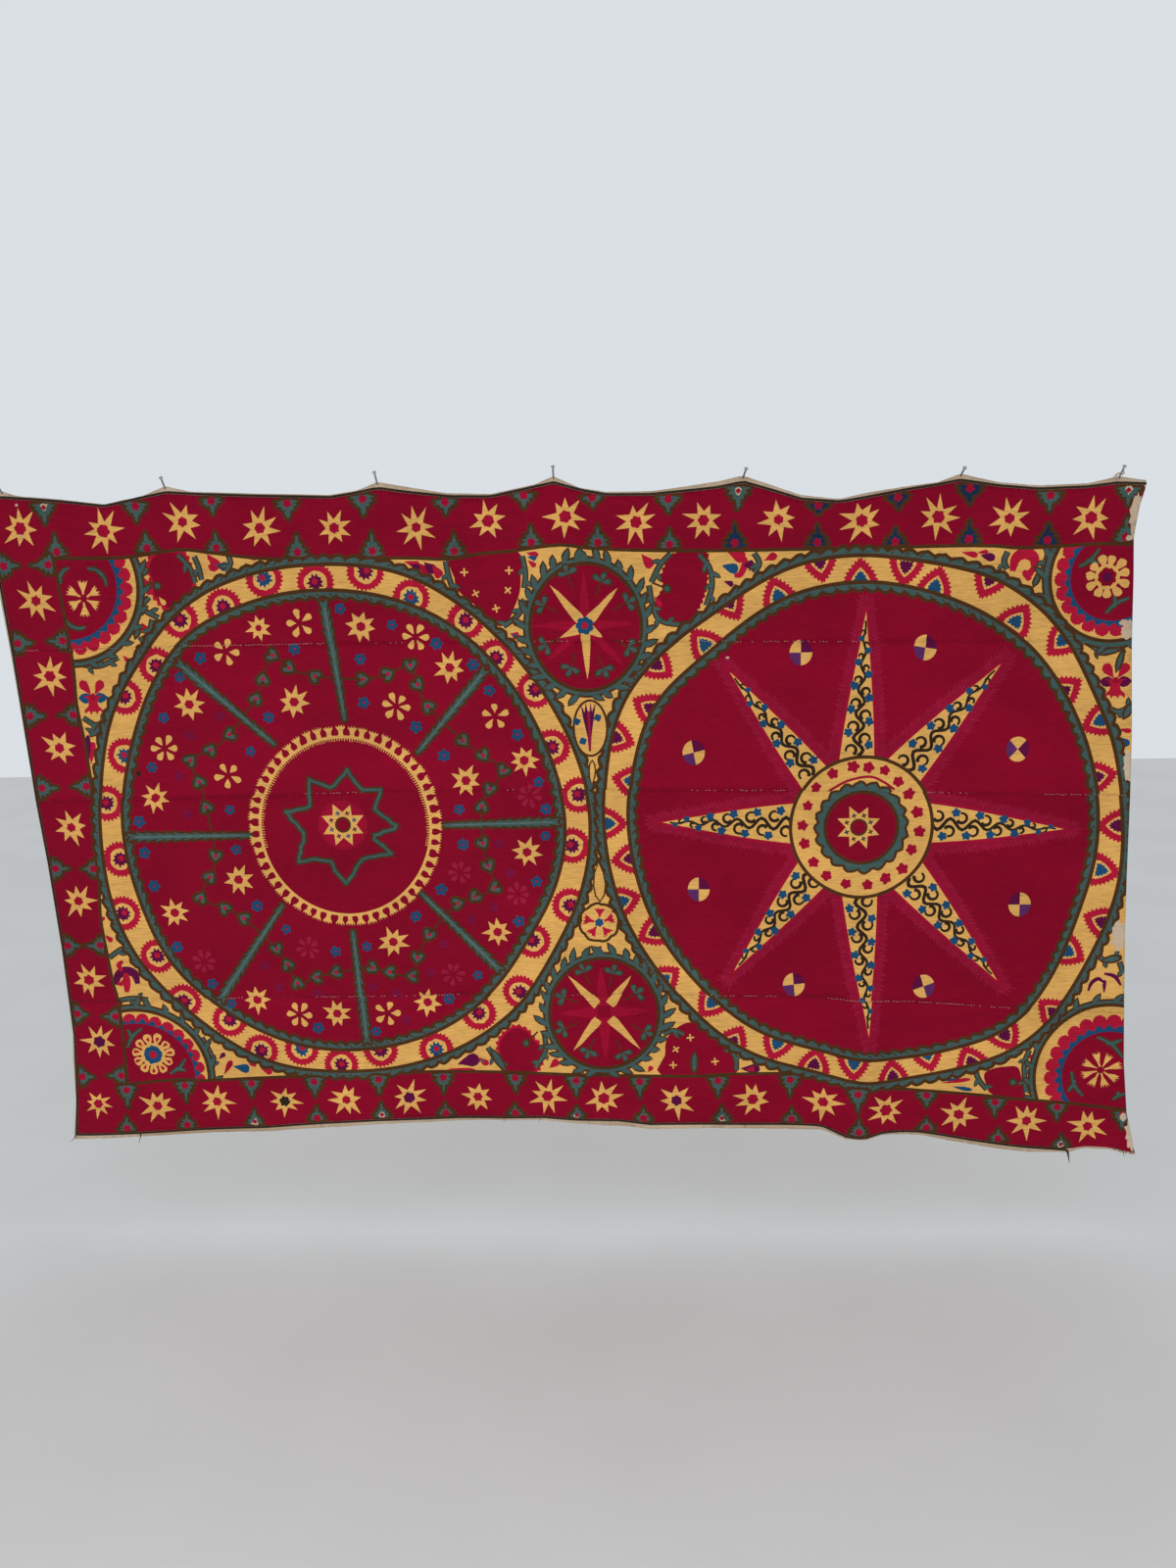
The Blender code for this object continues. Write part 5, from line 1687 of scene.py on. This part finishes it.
def make_strips(weave):
    """The four embroidered strips, cut along the drawing and laid on the folds."""
    lines = (TOP_EDGE, SEAM_1, SEAM_2, SEAM_3, BOTTOM_EDGE)
    names = list(COLOURS)
    shared = {name: thread_material("thread_" + name, COLOURS[name]) for name in names if name != "crimson"}
    shared["beige"] = weave
    pieces = []
    for (name, lighter, shift), upper, lower in zip(STRIPS, lines, lines[1:]):
        outline = strip_outline(upper, lower)
        low, high = outline[:, 1].min(), outline[:, 1].max()
        near = [(colour, shape + (shift, 0.0)) for colour, shape in SHAPES
                if shape[:, 1].max() > low and shape[:, 1].min() < high]
        flat, triangles, tops = cut_to_faces(outline, [shape for _, shape in near], GRID_STEP)
        colours = ["crimson"] + [colour for colour, _ in near]
        groups = [names.index(colours[top]) for top in tops]
        raise_points = set()
        for triangle, top in zip(triangles, tops):
            if colours[top] in RAISED:
                raise_points.update(triangle)
        crimson = thread_material("thread_crimson_" + name, scaled(COLOURS["crimson"], lighter), 0.20)
        materials = [crimson if colour == "crimson" else shared[colour] for colour in names] + [weave]
        piece = sheet_mesh(
            name + "_embroidery", flat, triangles, groups, -HALF_CLOTH, HALF_CLOTH, raise_points, materials
        )
        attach(piece, "root")
        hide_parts(name)
        pieces.append(piece)
        print(name, "faces", len(piece.data.polygons))
    return pieces


def lining_outline():
    """The lining's closed outline, a little ragged, past the braid on three sides."""
    shares = np.linspace(0.0, 1.0, 241)
    reach = SEAM_GAP + BRAID_WIDTH
    low = []
    for share in shares:
        x, z = edge_point(share, BOTTOM_EDGE)
        low.append((x, z - reach - float(along(LINING_BOTTOM, x)) + HAND.uniform(0.0, 0.0012)))
    high = []
    for share in reversed(shares):
        x, z = edge_point(share, TOP_EDGE)
        high.append((x, z + reach + float(along(LINING_TOP, x)) - HAND.uniform(0.0, 0.0006)))
    right = []
    for z in np.linspace(low[-1][1], high[0][1], 90)[1:-1]:
        right.append((float(along(RIGHT_EDGE, z)) + LINING_RIGHT, z))
    left = []
    for z in np.linspace(high[-1][1], low[0][1], 90)[1:-1]:
        left.append((float(along(LEFT_EDGE, z)) - reach - float(along(LINING_LEFT, z)), z))
    low[0] = (left[-1][0], low[0][1])
    high[-1] = (left[0][0], high[-1][1])
    return np.array(low + right + high + left)


def make_lining(weave):
    """The plain cotton sheet behind the strips."""
    outline = lining_outline()
    flat, triangles, _ = cut_to_faces(outline, [], LINING_STEP)
    plain = [0] * len(triangles)
    sides = [weave, weave]
    piece = sheet_mesh("lining_cloth", flat, triangles, plain, LINING_FRONT, LINING_BACK, set(), sides)
    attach(piece, "root")
    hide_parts("lining")
    return piece


# Braid
def braid_path():
    """The middle of the braid round three sides and down its loose end."""
    shares = np.linspace(0.0, 1.0, 161)
    line = [edge_point(share, TOP_EDGE) for share in reversed(shares)]
    top_left = line[-1]
    bottom = [edge_point(share, BOTTOM_EDGE) for share in shares]
    for z in np.linspace(top_left[1], bottom[0][1], 90)[1:-1]:
        line.append((float(along(LEFT_EDGE, z)), z))
    line += [point for point in bottom if point[0] < LOOSE_END_X]
    line = np.array(line)
    line = line - sideways(line) * (SEAM_GAP + BRAID_WIDTH / 2)
    return np.vstack((line, line[-1] + np.array(BRAID_TAIL)))


def make_braid():
    """A dark plaited braid: three strands that cross over one another along the edge."""
    path = evenly(braid_path(), 0.0030)
    normals = sideways(path)
    length = length_along(path)
    points = []
    faces = []
    sides = 6
    for strand in range(STRANDS):
        phase = 2 * math.pi * strand / STRANDS
        start = len(points)
        for index, (place, normal) in enumerate(zip(path, normals)):
            turn = 2 * math.pi * length[index] / PLAIT_LENGTH + phase
            fade = min(1.0, 0.15 + (length[-1] - length[index]) / LOOSE_END)
            across = PLAIT_SWING * math.sin(turn) * fade
            over = PLAIT_LIFT * math.sin(2 * turn) * fade
            x, z = place + normal * across
            depth = HALF_CLOTH - BRAID_THICK / 2 + over - float(lift(x, z))
            for side in range(sides):
                angle = 2 * math.pi * side / sides
                flat = normal * STRAND_WIDE * fade * math.cos(angle)
                y = depth - STRAND_DEEP * fade * math.sin(angle)
                points.append((x + flat[0], y, z + flat[1] - HANG_LINE))
        for index in range(len(path) - 1):
            here = start + index * sides
            for side in range(sides):
                after = (side + 1) % sides
                faces.append((here + side, here + after, here + sides + after, here + sides + side))
        faces.append(tuple(start + side for side in reversed(range(sides))))
        last = start + (len(path) - 1) * sides
        faces.append(tuple(last + side for side in range(sides)))
    mesh = bpy.data.meshes.new("braid_edging")
    mesh.from_pydata(points, [], faces)
    mesh.polygons.foreach_set("use_smooth", np.ones(len(faces), dtype=bool))
    mesh.materials.append(thread_material("thread_braid", (0.030, 0.017, 0.009), 0.45, 0.1))
    piece = bpy.data.objects.new("braid_edging", mesh)
    bpy.context.scene.collection.objects.link(piece)
    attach(piece, "root")
    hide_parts("edging")
    return piece


# Stitches, threads and string
# Where the seam stitches show: seam, first x, last x, share of the stitches that are left
STITCH_RUNS = (
    (SEAM_1, -1.195, -1.155, 0.7), (SEAM_1, -1.090, -0.980, 0.5), (SEAM_1, -0.840, -0.530, 0.9),
    (SEAM_1, -0.440, -0.320, 0.4), (SEAM_1, -0.080, 0.000, 0.5), (SEAM_1, 0.080, 0.150, 0.6),
    (SEAM_1, 0.250, 0.600, 0.5),
    (SEAM_2, -0.595, -0.470, 0.6), (SEAM_2, -0.150, -0.130, 0.8), (SEAM_2, 0.250, 0.450, 0.4),
    (SEAM_2, 0.750, 0.840, 0.7),
    (SEAM_2, 0.990, 1.170, 0.7), (SEAM_3, -0.810, -0.770, 1.0), (SEAM_3, -0.600, -0.270, 0.6),
    (SEAM_3, -0.100, 0.000, 0.4), (SEAM_3, 0.240, 0.450, 0.6), (SEAM_3, 0.550, 0.740, 0.8),
    (SEAM_3, 0.750, 0.960, 0.7),
)
# Loose threads below the bottom edge: x, length, how far the tip leans, thickness
THREADS = (
    (-1.1880, 0.018, -0.0130, 0.0022), (-1.0320, 0.024, -0.0050, 0.0026), (-0.6100, 0.007, 0.0020, 0.0010),
    (-0.1850, 0.010, 0.0030, 0.0012), (-0.1000, 0.012, -0.0030, 0.0012), (0.0100, 0.008, 0.0020, 0.0010),
    (0.0600, 0.010, -0.0020, 0.0010), (0.3660, 0.009, -0.0010, 0.0016), (0.5380, 0.006, 0.0010, 0.0010),
)
# Frayed threads of the torn corner: x and z of the root and the tip
FRAY = (
    (1.193, 0.022, 1.190, 0.012), (1.199, 0.018, 1.203, 0.006), (1.206, 0.014, 1.212, -0.002),
    (1.215, 0.014, 1.214, 0.004), (1.223, 0.012, 1.226, 0.003), (1.230, 0.016, 1.234, 0.005),
)
# Cotton string that is wound on the last pin: x, y and z in metres, one strand a row
STRING = (
    ((1.130, -0.0050, 1.484), (1.120, -0.0050, 1.488), (1.117, -0.0040, 1.480), (1.123, -0.0045, 1.474)),
    ((1.119, -0.0055, 1.486), (1.113, -0.0055, 1.482), (1.112, -0.0045, 1.475)),
    ((1.132, -0.0060, 1.485), (1.129, -0.0060, 1.495), (1.131, -0.0045, 1.499)),
)


def add_tube(points, faces, line, radii, sides=5):
    """Adds a closed tube along a line in space to a mesh that is being built."""
    line = np.asarray(line, dtype=float)
    radii = np.broadcast_to(np.asarray(radii, dtype=float), (len(line),))
    start = len(points)
    for index, place in enumerate(line):
        ahead = line[min(index + 1, len(line) - 1)] - line[max(index - 1, 0)]
        ahead = ahead / max(float(np.linalg.norm(ahead)), 1e-9)
        side = np.cross(ahead, (0.0, 1.0, 0.0))
        if float(np.linalg.norm(side)) < 0.2:
            side = np.cross(ahead, (0.0, 0.0, 1.0))
        side = side / float(np.linalg.norm(side))
        other = np.cross(side, ahead)
        for step in range(sides):
            angle = 2 * math.pi * step / sides
            points.append(place + radii[index] * (math.cos(angle) * side + math.sin(angle) * other))
    for index in range(len(line) - 1):
        here = start + index * sides
        for step in range(sides):
            after = (step + 1) % sides
            faces.append((here + step, here + sides + step, here + sides + after, here + after))
    faces.append(tuple(start + step for step in range(sides)))
    last = start + (len(line) - 1) * sides
    faces.append(tuple(last + step for step in reversed(range(sides))))


def tube_piece(name, points, faces, material):
    """A piece of joined tubes in one material."""
    mesh = bpy.data.meshes.new(name)
    mesh.from_pydata([tuple(point) for point in points], [], faces)
    mesh.polygons.foreach_set("use_smooth", np.ones(len(faces), dtype=bool))
    mesh.materials.append(material)
    piece = bpy.data.objects.new(name, mesh)
    bpy.context.scene.collection.objects.link(piece)
    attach(piece, "root")
    return piece


def on_cloth(x, z, forward=0.0):
    """A point in space on the front of the hung cloth."""
    return np.array((x, -HALF_CLOTH - forward - float(lift(x, z)), z - HANG_LINE))


def make_stitches():
    """The pale stitches that show along the seams."""
    points = []
    faces = []
    for seam, first, last, share in STITCH_RUNS:
        for x in np.arange(first, last, STITCH_PITCH):
            if HAND.random() > share:
                continue
            z = float(along(seam, x)) + HAND.uniform(-0.0008, 0.0008)
            long = HAND.uniform(0.0020, 0.0042)
            middle = on_cloth(x + long / 2, z, 0.0005)
            line = (on_cloth(x, z + 0.0006), middle, on_cloth(x + long, z - 0.0006))
            add_tube(points, faces, line, (0.0004, 0.0007, 0.0004), 4)
    material = thread_material("thread_stitches", (0.68, 0.36, 0.31), 0.35)
    return tube_piece("seam_stitches", points, faces, material)


def make_threads():
    """Loose and frayed threads along the bottom edge."""
    points = []
    faces = []
    for x, long, lean, thick in THREADS:
        top = float(along(BOTTOM_EDGE, x)) - 0.003
        line = []
        for share in np.linspace(0.0, 1.0, 6):
            place = on_cloth(x + lean * share**1.5, top - long * share, 0.0008)
            line.append(place + (0.0008 * math.sin(5.0 * share), 0.0, 0.0))
        add_tube(points, faces, line, np.linspace(thick / 2, thick / 5, 6))
    for x, z, tip_x, tip_z in FRAY:
        middle = on_cloth((x + tip_x) / 2 + 0.001, (z + tip_z) / 2, 0.001)
        line = (on_cloth(x, z), middle, on_cloth(tip_x, tip_z, 0.002))
        add_tube(points, faces, line, (0.0011, 0.0008, 0.0003))
    material = thread_material("thread_loose", (0.055, 0.045, 0.035), 0.4)
    return tube_piece("loose_threads", points, faces, material)


def make_string(weave):
    """The frayed cotton string at the last pin."""
    points = []
    faces = []
    for strand in STRING:
        line = np.array(strand) - (0.0, float(lift(1.12, 1.478)), HANG_LINE)
        marks = np.linspace(0, len(line) - 1, 9)
        fine = np.stack([np.interp(marks, range(len(line)), line[:, axis]) for axis in range(3)], axis=-1)
        add_tube(points, faces, fine, np.linspace(0.0017, 0.0009, 9), 6)
    return tube_piece("cotton_string", points, faces, weave)


def make_studio():
    """Pale floor and soft light."""
    mesh = bpy.data.meshes.new("floor")
    corners = [(x, y, FLOOR_LEVEL) for x, y in ((-8, -7), (8, -7), (8, 7), (-8, 7))]
    mesh.from_pydata(corners, [], [(0, 1, 2, 3)])
    floor = bpy.data.objects.new("floor", mesh)
    bpy.context.scene.collection.objects.link(floor)
    material, tree, shader = new_material("floor_pale")
    shade = ramp(tree, noise(tree, (2.0, 2.0, 2.0)), ((0.3, (0.70, 0.69, 0.67)), (0.7, (0.74, 0.73, 0.71))))
    tree.links.new(shade, shader.inputs["Base Color"])
    shader.inputs["Roughness"].default_value = 0.85
    mesh.materials.append(material)
    world = bpy.data.worlds.new("studio")
    bpy.context.scene.world = world
    world.use_nodes = True
    background = world.node_tree.nodes["Background"]
    background.inputs["Color"].default_value = WORLD_COLOUR
    background.inputs["Strength"].default_value = WORLD_STRENGTH
    light = bpy.data.lights.new("softbox", "AREA")
    light.shape = "RECTANGLE"
    light.size, light.size_y = LAMP_SIZE
    light.energy = LAMP_POWER
    lamp = bpy.data.objects.new("softbox", light)
    lamp.location = LAMP_PLACE
    lamp.rotation_euler = Vector(LAMP_AIM).to_track_quat("-Z", "Y").to_euler()
    bpy.context.scene.collection.objects.link(lamp)


def make_camera():
    """The camera in front of the cloth."""
    turn_x, turn_y, turn_z = CAMERA_TURNS
    turn = Matrix.Rotation(turn_z, 3, "Z") @ Matrix.Rotation(turn_y, 3, "Y") @ Matrix.Rotation(turn_x, 3, "X")
    right, ahead, up = (Vector(row) for row in turn)
    frame_matrix = Matrix((right, up, -ahead)).transposed().to_4x4()
    frame_matrix.translation = Vector(CAMERA_PLACE) - Vector((0.0, 0.0, HANG_LINE))
    data = bpy.data.cameras.new("camera")
    data.lens = CAMERA_LENS
    data.sensor_width = 36.0
    data.sensor_fit = "AUTO"
    camera = bpy.data.objects.new("camera", data)
    camera.matrix_world = frame_matrix
    bpy.context.scene.collection.objects.link(camera)
    bpy.context.scene.camera = camera


def main():
    bpy.context.scene.view_settings.view_transform = "Standard"
    make_camera()
    make_studio()
    draw_embroidery()
    print("shapes", len(SHAPES))
    weave = weave_material("woven_cotton", COLOURS["beige"])
    make_strips(weave)
    make_lining(weave)
    make_braid()
    make_stitches()
    make_threads()
    make_string(weave)
    steel = steel_material("drawn_steel")
    for name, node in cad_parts.items():
        if name.startswith("pin_"):
            node.data.materials.clear()
            node.data.materials.append(steel)


main()
